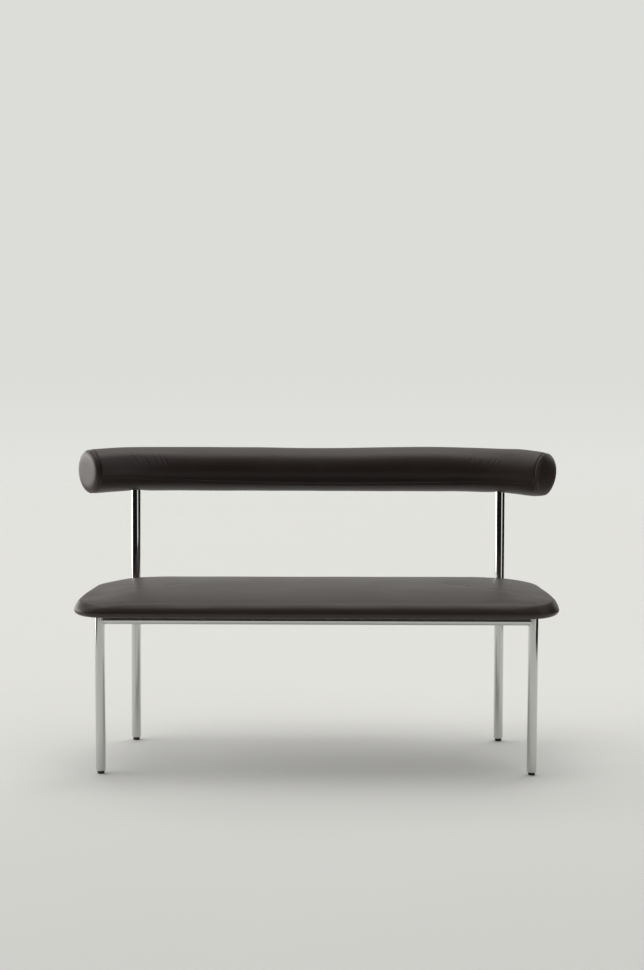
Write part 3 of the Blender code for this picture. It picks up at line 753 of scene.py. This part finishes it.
def settle(piece, held, furthest):
    """Lets the foam press the hide taut, as cloth that is held fast at some points."""
    scene = bpy.context.scene
    group = piece.vertex_groups.new(name="held")
    group.add(held, 1.0, "REPLACE")
    hide = piece.modifiers.new("settle", "CLOTH")
    hide.settings.vertex_group_mass = group.name
    hide.settings.effector_weights.gravity = 0.0
    hide.settings.use_pressure = True
    hide.settings.uniform_pressure_force = SETTLE_PRESSURE
    for step in range(1, SETTLE_STEPS + 1):
        scene.frame_set(step)
    settled = piece.evaluated_get(bpy.context.evaluated_depsgraph_get()).data
    for point, moved in zip(piece.data.vertices, settled.vertices):
        shift = moved.co - point.co
        point.co += shift * min(1.0, furthest / max(shift.length, furthest))
    piece.modifiers.remove(hide)
    piece.vertex_groups.remove(group)
    scene.frame_set(1)


leather = black_leather()
rings = []
for inset in top_insets():
    rings.append([p + UP * (stuffed(p) + turned_up(p, 0.0)) for p in top_ring(inset)])
free_rings = len(rings) + SEAT_UNDER_STEPS // 2
for inset, height in under_section():
    flat = seat_ring(inset, height)
    rings.append([p + UP * (pleat(p, inset) + turned_up(p, inset)) for p in flat])
rings += [seat_ring(inset, height) for inset, height in board_recess()]
pad = fit(folded("leather_pad", rings), leather, "black_leather", "seat_cover", "seat_foam")
held = range(free_rings * len(SEAT_OUTLINE), len(pad.data.vertices))
settle(pad, list(held), SETTLE_RISE)


# Dust cover
# Thin black non-woven cloth, cut to the pad's plan and stretched over its underside.
# It closes the pad, and is held by wire staples all round its edge.

STAPLE_LENGTH = 0.010
STAPLE_LEG = 0.0012
STAPLE_RADIUS = 0.00035
STAPLE_SIDES = 8
STAPLE_SPACING = 0.034
STAPLE_INSET = 0.006
STAPLE_CLEARANCE = 0.026
CLOTH_DARK = (0.010, 0.010, 0.011, 1.0)
CLOTH_LIGHT = (0.034, 0.034, 0.036, 1.0)
CLOTH_FIBRE = (700.0, 2200.0, 700.0)
CLOTH_FIBRE_DETAIL = 5.0
CLOTH_ROUGHNESS = 0.92
CLOTH_FIBRE_HEIGHT = 0.0002

dust_low, dust_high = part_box("seat_dust_cover")
DUST_COVER_THICKNESS = dust_high.z - dust_low.z


def dust_cloth():
    """Black non-woven cloth, with the tangle of its fibres."""
    finish, tree, shader = new_finish("dust_cloth", Roughness=CLOTH_ROUGHNESS)
    fibre = drawn_out(tree, place_in(tree), CLOTH_FIBRE, CLOTH_FIBRE_DETAIL)
    vary_colour(tree, shader, fibre, CLOTH_DARK, CLOTH_LIGHT)
    raise_surface(tree, shader, fibre, CLOTH_FIBRE_HEIGHT)
    return finish


cloth_inset = seat_high.x - dust_high.x
edge = seat_ring(cloth_inset, 0.0)
rings = [seat_ring(cloth_inset, DUST_COVER_THICKNESS), edge]
cloth = fit(folded("stapled_dust_cover", rings), dust_cloth(), "dust_cloth", "seat_dust_cover")


def staple(middle, heading):
    """Rings round a wire staple: its crown lies along the cloth, and its legs turn up into the board."""
    reach = heading * STAPLE_LENGTH / 2
    leg = STAPLE_LEG * UP
    beside = STAPLE_RADIUS * UP.cross(heading)
    bends = (
        (middle - reach + leg, heading),
        (middle - reach, heading + UP),
        (middle + reach, UP - heading),
        (middle + reach + leg, -heading),
    )
    return [ring_about(point, beside, STAPLE_RADIUS * over, STAPLE_SIDES) for point, over in bends]


mesh = bmesh.new()
staple_line = seat_ring(cloth_inset + STAPLE_INSET, -STAPLE_RADIUS)
run = 0.0
for here, there in zip(staple_line, staple_line[1:] + staple_line[:1]):
    run += (there - here).length
    nearest = min(math.hypot(here.x - foot.x, here.y - foot.y) for foot in feet.values())
    if run < STAPLE_SPACING or nearest < STAPLE_CLEARANCE:
        continue
    run = 0.0
    lay_rod(mesh, staple(here, (there - here).normalized()))
fit(piece_from("dust_cover_staples", mesh), zinc, "zinc_steel")


# Seat screws
# Zinc-plated button heads with a hexagon socket, up through the tabs and into the tee nuts.

SCREW_STEPS = 48
SCREW_RADIUS = 0.003
SCREW_TIP_EDGE = 0.0006
HEAD_RADIUS = 0.0055
HEAD_HEIGHT = 0.0033
HEAD_ROUND_STEPS = 8
SOCKET_RADIUS = 0.00225
SOCKET_DEPTH = 0.002


def socket_ring(centre, height):
    """A hexagon with as many points as the screw's round rings."""
    sixth = math.pi / 3
    flat = SOCKET_RADIUS * math.cos(sixth / 2)
    points = []
    for a in turns_of(SCREW_STEPS):
        reach = flat / math.cos(a % sixth - sixth / 2)
        points.append(Vector((centre.x + reach * math.cos(a), centre.y + reach * math.sin(a), height)))
    return points


for position in TAB_POSITIONS:
    screw_low, screw_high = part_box("seat_screw_" + position)
    centre = (screw_low + screw_high) / 2
    centre.z = 0.0
    head_top = screw_low.z + HEAD_HEIGHT
    crown = HEAD_RADIUS - SOCKET_RADIUS - SCREW_TIP_EDGE
    profile = [
        (SCREW_RADIUS - SCREW_TIP_EDGE, screw_high.z),
        (SCREW_RADIUS, screw_high.z - SCREW_TIP_EDGE),
        (SCREW_RADIUS, head_top),
    ]
    for a in quarter_turn(HEAD_ROUND_STEPS):
        profile.append((HEAD_RADIUS - crown * (1 - math.cos(a)), head_top - HEAD_HEIGHT * math.sin(a)))
    rings = [level_ring(centre, 0.0, height, radius, SCREW_STEPS) for radius, height in profile]
    rings += [socket_ring(centre, height) for height in (screw_low.z, screw_low.z + SOCKET_DEPTH)]
    fit(loft("button_screw_" + position, rings), zinc, "zinc_steel", "seat_screw_" + position)


# Bolster core and end boards
# A bent tube welded across the tops of the uprights, with a round plywood board on each end.
# The boards' outer edges are rounded over, so that they don't wear through the hide.

BOLSTER_HALF_STRAIGHT = 0.328
BOLSTER_BEND_RADIUS = 0.517
BOLSTER_BEND_ANGLE = math.radians(34.0)
CAP_DOME = 0.004
CAP_ROUND = 0.012
END_BOARD_THICKNESS = 0.012
END_BOARD_EDGE = 0.006
END_BOARD_EDGE_STEPS = 6
END_BOARD_STEPS = 96
END_TILTS = {-1: 0.12, 1: 0.30}
END_TUCKS = {-1: 0.0, 1: 0.20}

sleeve_low, sleeve_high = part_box("bolster_cover")
core_low, core_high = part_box("bolster_core")
BOLSTER_RADIUS = (sleeve_high.z - sleeve_low.z) / 2
BOLSTER_HEIGHT = (sleeve_high.z + sleeve_low.z) / 2
BOLSTER_Y = sleeve_high.y - BOLSTER_RADIUS
CORE_RADIUS = (core_high.z - core_low.z) / 2
BORE_RADIUS = CORE_RADIUS + FIT_GAP
CAP_FACE = BOLSTER_HALF_STRAIGHT + BOLSTER_BEND_RADIUS * BOLSTER_BEND_ANGLE
CAP_RIM = CAP_FACE - CAP_DOME - CAP_ROUND
END_BOARD_OUTER = CAP_FACE - CAP_DOME - LEATHER_THICKNESS - FIT_GAP
END_BOARD_INNER = END_BOARD_OUTER - END_BOARD_THICKNESS


def bolster_frame(distance):
    """Point on the bolster's axis this far along from its middle, and the level direction to its back."""
    side = side_of(distance)
    bend = max(0.0, abs(distance) - BOLSTER_HALF_STRAIGHT) / BOLSTER_BEND_RADIUS
    x = min(abs(distance), BOLSTER_HALF_STRAIGHT) + BOLSTER_BEND_RADIUS * math.sin(bend)
    y = BOLSTER_Y + BOLSTER_BEND_RADIUS * (math.cos(bend) - 1)
    return Vector((side * x, y, BOLSTER_HEIGHT)), Vector((side * math.sin(bend), math.cos(bend), 0))


def outwards(distance, turn):
    """The direction square to the bolster's axis at this turn. Turns start at its front and go up."""
    return UP * math.sin(turn) - math.cos(turn) * bolster_frame(distance)[1]


def bolster_point(distance, turn, radius):
    """A point of a plain round bolster, or inside it."""
    return bolster_frame(distance)[0] + radius * outwards(distance, turn)


def tilted(side, distance, turn, radius):
    """A place along the bolster. Beyond its rim, an end stands out more at its top than at its bottom."""
    height = radius / BOLSTER_RADIUS * math.sin(turn)
    beyond = max(0.0, distance - CAP_RIM)
    return side * (distance + beyond * (END_TILTS[side] * height - END_TUCKS[side] * height**2))


def end_board_section():
    """(radius, distance) points round a board's section, from its bore and over its outer edge."""
    rim = BOLSTER_RADIUS - CAP_ROUND
    points = [(BORE_RADIUS, END_BOARD_INNER), (rim, END_BOARD_INNER)]
    for a in quarter_turn(END_BOARD_EDGE_STEPS):
        across = END_BOARD_EDGE * (1 - math.cos(a))
        points.append((rim - across, END_BOARD_OUTER - END_BOARD_EDGE * (1 - math.sin(a))))
    return points + [(BORE_RADIUS, END_BOARD_OUTER)]


refinish("bolster_core", chrome)
turns = turns_of(END_BOARD_STEPS)
for word, side in SIDES.items():
    rings = []
    for radius, place in end_board_section():
        rings.append([bolster_point(tilted(side, place, turn, radius), turn, radius) for turn in turns])
    board = loft("rounded_end_board_" + word, rings, looped=True)
    fit(board, plywood, "plywood", "bolster_end_board_" + word)


# Bolster sleeve
# A thick foam roll in a tight sleeve of the same hide, closed by one long seam along its lower front.
# It is straight in the middle and bends forward towards both ends, where the hide creases.

SLEEVE_FINE_START = 0.37
SLEEVE_FINE_SPACING = 0.0021
SLEEVE_SPACING = 0.005
SLEEVE_END_SPACING = 0.0008
SLEEVE_END_ROWS = 4
SLEEVE_TURN_SPACING = 0.0036
SLEEVE_LIFT = 0.0023
SLEEVE_LIFT_PLACE = -0.522
SLEEVE_LIFT_REACH = 0.085
SLEEVE_DROOP = 0.0033
SLEEVE_DROOP_START = 0.53
SLEEVE_DROOP_END = 0.60
SLEEVE_SWELL = 0.0017
SLEEVE_SWELL_PLACE = 0.565
SLEEVE_SWELL_REACH = 0.048
SLEEVE_DRAW = 0.0018
SLEEVE_DRAW_REACH = 0.015
SLEEVE_FULL_TOP = 0.0022
SLEEVE_FULL_TOP_PLACE = 0.30
SLEEVE_FLAT_TOP = 0.0019
SLEEVE_TOP_REACH = 0.13
SEAM_DEPTH = 0.0014
SEAM_WIDTH = 0.0014
SEAM_ROWS = (0.0006, 0.0013, 0.0021, 0.0034)
SEAM_LOW = math.radians(37)
SEAM_ENDS = {-1: math.radians(10), 1: math.radians(24)}
SEAM_SWEEP_POWER = 1.6
END_SEAM_DEPTH = 0.003
END_SEAM_WIDTH = 0.0026
PUCKER_DEPTH = 0.0003
PUCKER_PITCH = 0.0085
PUCKER_REACH = 0.007
CREASE_SEED = 7
CREASES = 6
CREASE_FIRST = 0.418
CREASE_PITCH = 0.0185
CREASE_SCATTER = 0.004
CREASE_TURN = math.radians(33)
CREASE_TURN_SCATTER = math.radians(9)
CREASE_HALF_LENGTH = 0.019
CREASE_WIDTH = 0.0042
CREASE_SLANT = 0.42
CREASE_DEPTHS = {"left": 0.0012, "right": 0.0006}
CREASE_LEAST_SHARE = 0.6
DIMPLE_DEPTH = 0.0030
DIMPLE_REACH = 0.022
SLEEVE_END = CAP_RIM - FIT_GAP / 2


def lift(distance):
    """How much higher the roll lies than drawn: it rises a little on the left, and droops on the right."""
    rise = SLEEVE_LIFT * dip(distance - SLEEVE_LIFT_PLACE, SLEEVE_LIFT_REACH)
    return rise - SLEEVE_DROOP * eased(distance, SLEEVE_DROOP_START, SLEEVE_DROOP_END)


def stuffing(distance, turn):
    """How much fuller than round the foam is here."""
    swell = SLEEVE_SWELL * dip(distance - SLEEVE_SWELL_PLACE, SLEEVE_SWELL_REACH)
    full = SLEEVE_FULL_TOP * dip(distance - SLEEVE_FULL_TOP_PLACE, SLEEVE_TOP_REACH)
    flat = SLEEVE_FLAT_TOP * dip(distance, SLEEVE_TOP_REACH)
    drawn = SLEEVE_DRAW * dip(distance - SLEEVE_END, SLEEVE_DRAW_REACH)
    uneven = waves(bolster_point(distance, turn, BOLSTER_RADIUS))
    return swell - drawn + max(0.0, math.sin(turn)) * (full - flat) + uneven


def skin_point(distance, turn, radius):
    """A point on the stuffed roll, or inside it. The radius is that of the roll as drawn."""
    share = radius / BOLSTER_RADIUS
    reach = radius + share * stuffing(max(-SLEEVE_END, min(SLEEVE_END, distance)), turn)
    return bolster_point(distance, turn, reach) + UP * lift(distance)


def seam_turn(distance):
    """Where the long seam is: low on the front in the middle, and higher towards both ends."""
    end = SEAM_ENDS[side_of(distance)]
    return -SEAM_LOW + (SEAM_LOW - end) * min(1.0, abs(distance) / CAP_RIM) ** SEAM_SWEEP_POWER


def sleeve_turns():
    """Turns from the long seam round to it again, close together beside the seam."""
    near = [0.0] + [row / BOLSTER_RADIUS for row in SEAM_ROWS]
    rest = 2 * math.pi - 2 * near[-1]
    steps = round(rest * BOLSTER_RADIUS / SLEEVE_TURN_SPACING)
    middle = [near[-1] + rest * i / steps for i in range(1, steps)]
    return near + middle + [2 * math.pi - turn for turn in near[:0:-1]]


def sleeve_stations():
    """Distances along the roll from end to end, close together at its bends and closer at its ends."""
    close = [SLEEVE_END - SLEEVE_END_SPACING * i for i in range(SLEEVE_END_ROWS)]
    fine = round((close[-1] - SLEEVE_FINE_START) / SLEEVE_FINE_SPACING)
    bends = [close[-1] + (SLEEVE_FINE_START - close[-1]) * i / fine for i in range(1, fine)]
    plain = round(SLEEVE_FINE_START / SLEEVE_SPACING)
    half = close + bends + [SLEEVE_FINE_START * (1 - i / plain) for i in range(plain)]
    return [-d for d in half] + [0.0] + half[::-1]


def scatter_creases():
    """(side, place, turn, depth) of the short creases on the upper front of both bends."""
    chance = random.Random(CREASE_SEED)
    found = []
    for word, side in SIDES.items():
        for i in range(CREASES):
            place = CREASE_FIRST + CREASE_PITCH * i + CREASE_SCATTER * chance.uniform(-1, 1)
            turn = CREASE_TURN + CREASE_TURN_SCATTER * chance.uniform(-1, 1)
            depth = CREASE_DEPTHS[word] * chance.uniform(CREASE_LEAST_SHARE, 1.0)
            found.append((side, side * place, turn, depth))
    return found


def crease_depth(distance, turn):
    """How deep the creases are here. They slant, with their lower ends towards the sofa's middle."""
    depth = 0.0
    for side, place, middle, deepest in creases:
        down = BOLSTER_RADIUS * (middle - turn) / CREASE_HALF_LENGTH
        if abs(down) < 1 and abs(distance - place) < CREASE_PITCH:
            across = (distance - place + side * CREASE_SLANT * CREASE_HALF_LENGTH * down) / CREASE_WIDTH
            depth += deepest * (1 - down**2) ** 2 * (1 - across**2) * math.exp(-(across**2))
    return depth


def sewn_depth(distance, turn, beside):
    """How far the hide is drawn in: at its seams, their puckers and its creases, and round the uprights."""
    depth = SEAM_DEPTH * dip(beside, SEAM_WIDTH) + crease_depth(distance, turn)
    depth += PUCKER_DEPTH * ripple(distance, PUCKER_PITCH) * dip(beside, PUCKER_REACH)
    depth += END_SEAM_DEPTH * dip(SLEEVE_END - abs(distance), END_SEAM_WIDTH)
    round_it = BOLSTER_RADIUS * (turn + math.pi / 2)
    along_it = abs(distance) - UPRIGHT_PLACE
    return depth + DIMPLE_DEPTH * dip(math.hypot(round_it, along_it), DIMPLE_REACH)


def pierce(piece, rods):
    """Cuts holes for round rods, each given as rings of points, through a piece."""
    tool = bmesh.new()
    for rod in rods:
        lay_rod(tool, rod)
    cutter = piece_from("cutter", tool)
    step = piece.modifiers.new("holes", "BOOLEAN")
    step.operation = "DIFFERENCE"
    step.solver = "EXACT"
    step.object = cutter
    shaped = piece.evaluated_get(bpy.context.evaluated_depsgraph_get())
    data = bpy.data.meshes.new_from_object(shaped)
    piece.modifiers.remove(step)
    piece.data = data
    data.set_sharp_from_angle(angle=SHARP_ANGLE)
    bpy.data.objects.remove(cutter, do_unlink=True)


upright_bend = math.asin((feet["rear_right"].x - BOLSTER_HALF_STRAIGHT) / BOLSTER_BEND_RADIUS)
UPRIGHT_PLACE = BOLSTER_HALF_STRAIGHT + BOLSTER_BEND_RADIUS * upright_bend
creases = scatter_creases()
stations = sleeve_stations()
turns = sleeve_turns()
skin = []
rings = []
for place in stations:
    for turn in turns:
        beside = BOLSTER_RADIUS * min(turn, 2 * math.pi - turn)
        skin.append((place, math.remainder(seam_turn(place) + turn, 2 * math.pi), beside))
    rings.append([skin_point(place, seam_turn(place) + turn, BOLSTER_RADIUS) for turn in turns])
foam_end = END_BOARD_INNER - FIT_GAP
under_skin = BOLSTER_RADIUS - END_SEAM_DEPTH - LEATHER_THICKNESS
hollow = [(under_skin, SLEEVE_END), (under_skin, foam_end)]
bore = [(BORE_RADIUS, foam_end * (1 - 2 * i / END_BOARD_STEPS)) for i in range(END_BOARD_STEPS + 1)]
for radius, place in hollow + bore + [(radius, -place) for radius, place in hollow[::-1]]:
    point_at = skin_point if radius == under_skin else bolster_point
    rings.append([point_at(place, seam_turn(place) + turn, radius) for turn in turns])
sleeve = loft("leather_sleeve", rings, looped=True)
fit(sleeve, leather, "black_leather", "bolster_cover", "bolster_foam")
for point, (place, turn, beside) in zip(sleeve.data.vertices, skin):
    point.co -= sewn_depth(place, turn, beside) * outwards(place, turn)
hole_heights = (BOLSTER_HEIGHT - BOLSTER_RADIUS - DIMPLE_REACH, UPRIGHT_TOP + FIT_GAP)
holes = []
for word in SIDES:
    foot = feet["rear_" + word]
    holes.append([level_ring(foot, REAR_LEAN, height, LEG_RADIUS + FIT_GAP) for height in hole_heights])
pierce(sleeve, holes)


# Bolster end caps
# A disc of the hide over each end board, sewn to the end of the sleeve. The right one is rounder.

CAP_STEPS = 120
CAP_PROFILE_STEPS = 26
CAP_POWERS = {"left": 6.5, "right": 3.0}


def cap_profile(power, depth):
    """(radius, distance) points from a cap's rim to near its middle, this far under its skin."""
    height = CAP_FACE - CAP_RIM - FIT_GAP / 2
    points = []
    for i in range(CAP_PROFILE_STEPS):
        share = 1 - (i / CAP_PROFILE_STEPS) ** 2
        beyond = height * math.sqrt(1 - share**power)
        lean = Vector((power * share ** (power - 1) / BOLSTER_RADIUS, 2 * beyond / height**2)).normalized()
        radius = BOLSTER_RADIUS * share - END_SEAM_DEPTH * dip(beyond, END_SEAM_WIDTH)
        points.append((radius - depth * lean.x, CAP_RIM + FIT_GAP / 2 + beyond - depth * lean.y))
    return points


turns = turns_of(CAP_STEPS)
for word, side in SIDES.items():
    power = CAP_POWERS[word]
    profile = cap_profile(power, 0.0)[::-1] + cap_profile(power, LEATHER_THICKNESS)
    rings = []
    for radius, place in profile:
        rings.append([skin_point(tilted(side, place, turn, radius), turn, radius) for turn in turns])
    fit(loft("leather_end_cap_" + word, rings), leather, "black_leather", "bolster_end_cap_" + word)


# Studio
# A pale floor under soft light, mostly from above and from the left, and the camera.

FLOOR_RADIUS = 9.0
FLOOR_FADE_START = 4.0
FLOOR_FADE_END = 7.5
FLOOR_STEPS = 96
FLOOR_FRONT = (-2.2, -2.6)
FLOOR_LEFT = (-1.9, -2.2)
FLOOR_RIGHT = (1.6, 2.1)
# Painted shade and light on the floor: its colour is darker in front and paler behind, standing in for the
# falloff of the lamps' light
FLOOR_NEAR_PAINTED_SHADE = (0.700, 0.705, 0.687, 1.0)
FLOOR_FAR_PAINTED_LIGHT = (0.868, 0.872, 0.850, 1.0)
FLOOR_NEAR_Y = -2.0
FLOOR_FAR_Y = 1.3
FLOOR_CLOUD_SCALE = 0.8
FLOOR_CLOUD_DETAIL = 3.0
FLOOR_CLOUD_SHIFT = 0.4
FLOOR_ROUGHNESS = 0.9
BACKDROP_HIGH = (0.716, 0.723, 0.687, 1.0)
BACKDROP_LOW = (0.760, 0.768, 0.730, 1.0)
BACKDROP_SLOPES = (-0.113, -0.066)
BACKDROP_REACH = math.radians(12)
BACKDROP_SOFTNESS = math.radians(8)
SKY_COLOUR = (1.0, 0.99, 0.965, 1.0)
SKY_DARK = 0.01
# Azimuth from the camera's side to the right, elevation, reach, softness (all in degrees) and strength
SKY_PATCHES = {
    "left_window_front": (-102, 4, 11, 8, 7.1),
    "left_window_middle": (-126, 4, 11, 8, 2.4),
    "left_window_rear": (-150, 4, 11, 8, 3.0),
    "left_wall": (-90, 32, 16, 10, 1.1),
    "left_wall_rear": (-135, 32, 16, 10, 1.1),
    "rear_wall_low": (180, 4, 11, 8, 0.6),
    "right_window_rear": (140, 14, 11, 8, 1.1),
    "rear_wall": (180, 32, 16, 10, 0.55),
    "right_wall_rear": (135, 32, 16, 10, 0.5),
    "right_wall_front": (45, 32, 16, 10, 0.5),
    "right_card": (48, -2, 9, 5, 1.0),
    "ceiling_left": (-60, 58, 13, 10, 0.8),
    "ceiling_right": (60, 58, 13, 10, 0.5),
    "ceiling_rear": (180, 58, 13, 10, 1.0),
    "top_lamp": (-85, 84, 9, 9, 2.72),
    "key_lamp": (138, 71, 9, 7, 2.4),
}
CAMERA_LENS = 85.0
CAMERA_PLACE = (0.042, -5.9192, 1.414)
CAMERA_PITCH = math.radians(6.73)
CAMERA_TURN = math.radians(0.29)
CAMERA_ROLL = math.radians(0.15)


def ease(tree, value, start, end, low=0.0, high=1.0):
    """Goes smoothly from low to high as a value goes from start to end."""
    inputs = {"Value": value, "From Min": start, "From Max": end, "To Min": low, "To Max": high}
    return node(tree, "MapRange", inputs, interpolation_type="SMOOTHSTEP").outputs["Result"]


def floor_with_painted_falloff():
    """A pale floor with painted shade and light: darker towards the front and paler behind, as the lamps'
    light falls off. It fades into the background far from the sofa.
    """
    finish, tree, shader = new_finish("floor_with_painted_falloff", Roughness=FLOOR_ROUGHNESS)
    place = place_in(tree)
    cloud = noise_over(tree, place, FLOOR_CLOUD_SCALE, FLOOR_CLOUD_DETAIL)
    spot = node(tree, "SeparateXYZ", {"Vector": place}).outputs
    back = worked(tree, "MULTIPLY_ADD", cloud, FLOOR_CLOUD_SHIFT, spot["Y"])
    # Painted light falloff: the floor's colour goes from darker in front to paler behind, and the cloud
    # only shifts where that change lies
    painted_falloff = ease(tree, back, FLOOR_NEAR_Y, FLOOR_FAR_Y)
    vary_colour(tree, shader, painted_falloff, FLOOR_NEAR_PAINTED_SHADE, FLOOR_FAR_PAINTED_LIGHT)
    reach = node(tree, "VectorMath", {0: place}, operation="LENGTH").outputs["Value"]
    fade = ease(tree, reach, FLOOR_FADE_START, FLOOR_FADE_END)
    for axis, (start, end) in (("Y", FLOOR_FRONT), ("X", FLOOR_LEFT), ("X", FLOOR_RIGHT)):
        fade = worked(tree, "MAXIMUM", fade, ease(tree, spot[axis], start, end))
    clear = tree.nodes.new("ShaderNodeBsdfTransparent")
    mix = node(tree, "MixShader", {0: fade, 1: shader.outputs[0], 2: clear.outputs[0]})
    tree.links.new(mix.outputs[0], tree.nodes["Material Output"].inputs["Surface"])
    return finish


mesh = bmesh.new()
rim = level_ring(Vector(), 0.0, 0.0, FLOOR_RADIUS, FLOOR_STEPS)
mesh.faces.new([mesh.verts.new(point) for point in rim])
floor = piece_from("floor", mesh)
floor.data.materials.append(floor_with_painted_falloff())

world = bpy.data.worlds.new("studio")
world.use_nodes = True
tree = world.node_tree
towards = tree.nodes.new("ShaderNodeTexCoord").outputs["Generated"]
light = SKY_DARK
for azimuth, elevation, reach, softness, strength in SKY_PATCHES.values():
    level = math.cos(math.radians(elevation))
    aim = (
        math.sin(math.radians(azimuth)) * level,
        -math.cos(math.radians(azimuth)) * level,
        math.sin(math.radians(elevation)),
    )
    facing = node(tree, "VectorMath", {0: towards, 1: aim}, operation="DOT_PRODUCT").outputs["Value"]
    inner = math.cos(math.radians(reach))
    outer = math.cos(math.radians(reach + softness))
    patch = ease(tree, facing, outer, inner, 0.0, strength)
    light = worked(tree, "ADD", patch, light)
sky_light = tree.nodes["Background"]
sky_light.inputs["Color"].default_value = SKY_COLOUR
tree.links.new(light, sky_light.inputs["Strength"])

# The backdrop stands behind the sofa, and shows there in its reflections too
heading = node(tree, "SeparateXYZ", {"Vector": towards}).outputs
wall = tint(tree, ease(tree, heading["Z"], *BACKDROP_SLOPES), BACKDROP_LOW, BACKDROP_HIGH)
backdrop = node(tree, "Background", {"Color": wall, "Strength": 1.0})
outer = math.cos(BACKDROP_REACH + BACKDROP_SOFTNESS)
behind = ease(tree, heading["Y"], outer, math.cos(BACKDROP_REACH))
rays = tree.nodes.new("ShaderNodeLightPath").outputs
bent = worked(tree, "MAXIMUM", rays["Is Glossy Ray"], rays["Is Transmission Ray"])
mirrored = worked(tree, "MULTIPLY", bent, behind)
seen = worked(tree, "MAXIMUM", rays["Is Camera Ray"], mirrored)
mix = node(tree, "MixShader", {0: seen, 1: sky_light.outputs[0], 2: backdrop.outputs[0]})
tree.links.new(mix.outputs[0], tree.nodes["World Output"].inputs["Surface"])
bpy.context.scene.world = world

camera_data = bpy.data.cameras.new("camera")
camera_data.lens = CAMERA_LENS
camera = bpy.data.objects.new("camera", camera_data)
camera.location = CAMERA_PLACE
camera.rotation_euler = (
    Matrix.Rotation(CAMERA_TURN, 3, "Z")
    @ Matrix.Rotation(math.pi / 2 - CAMERA_PITCH, 3, "X")
    @ Matrix.Rotation(CAMERA_ROLL, 3, "Z")
).to_euler()
bpy.context.scene.collection.objects.link(camera)
bpy.context.scene.camera = camera
bpy.context.scene.view_settings.view_transform = "Standard"
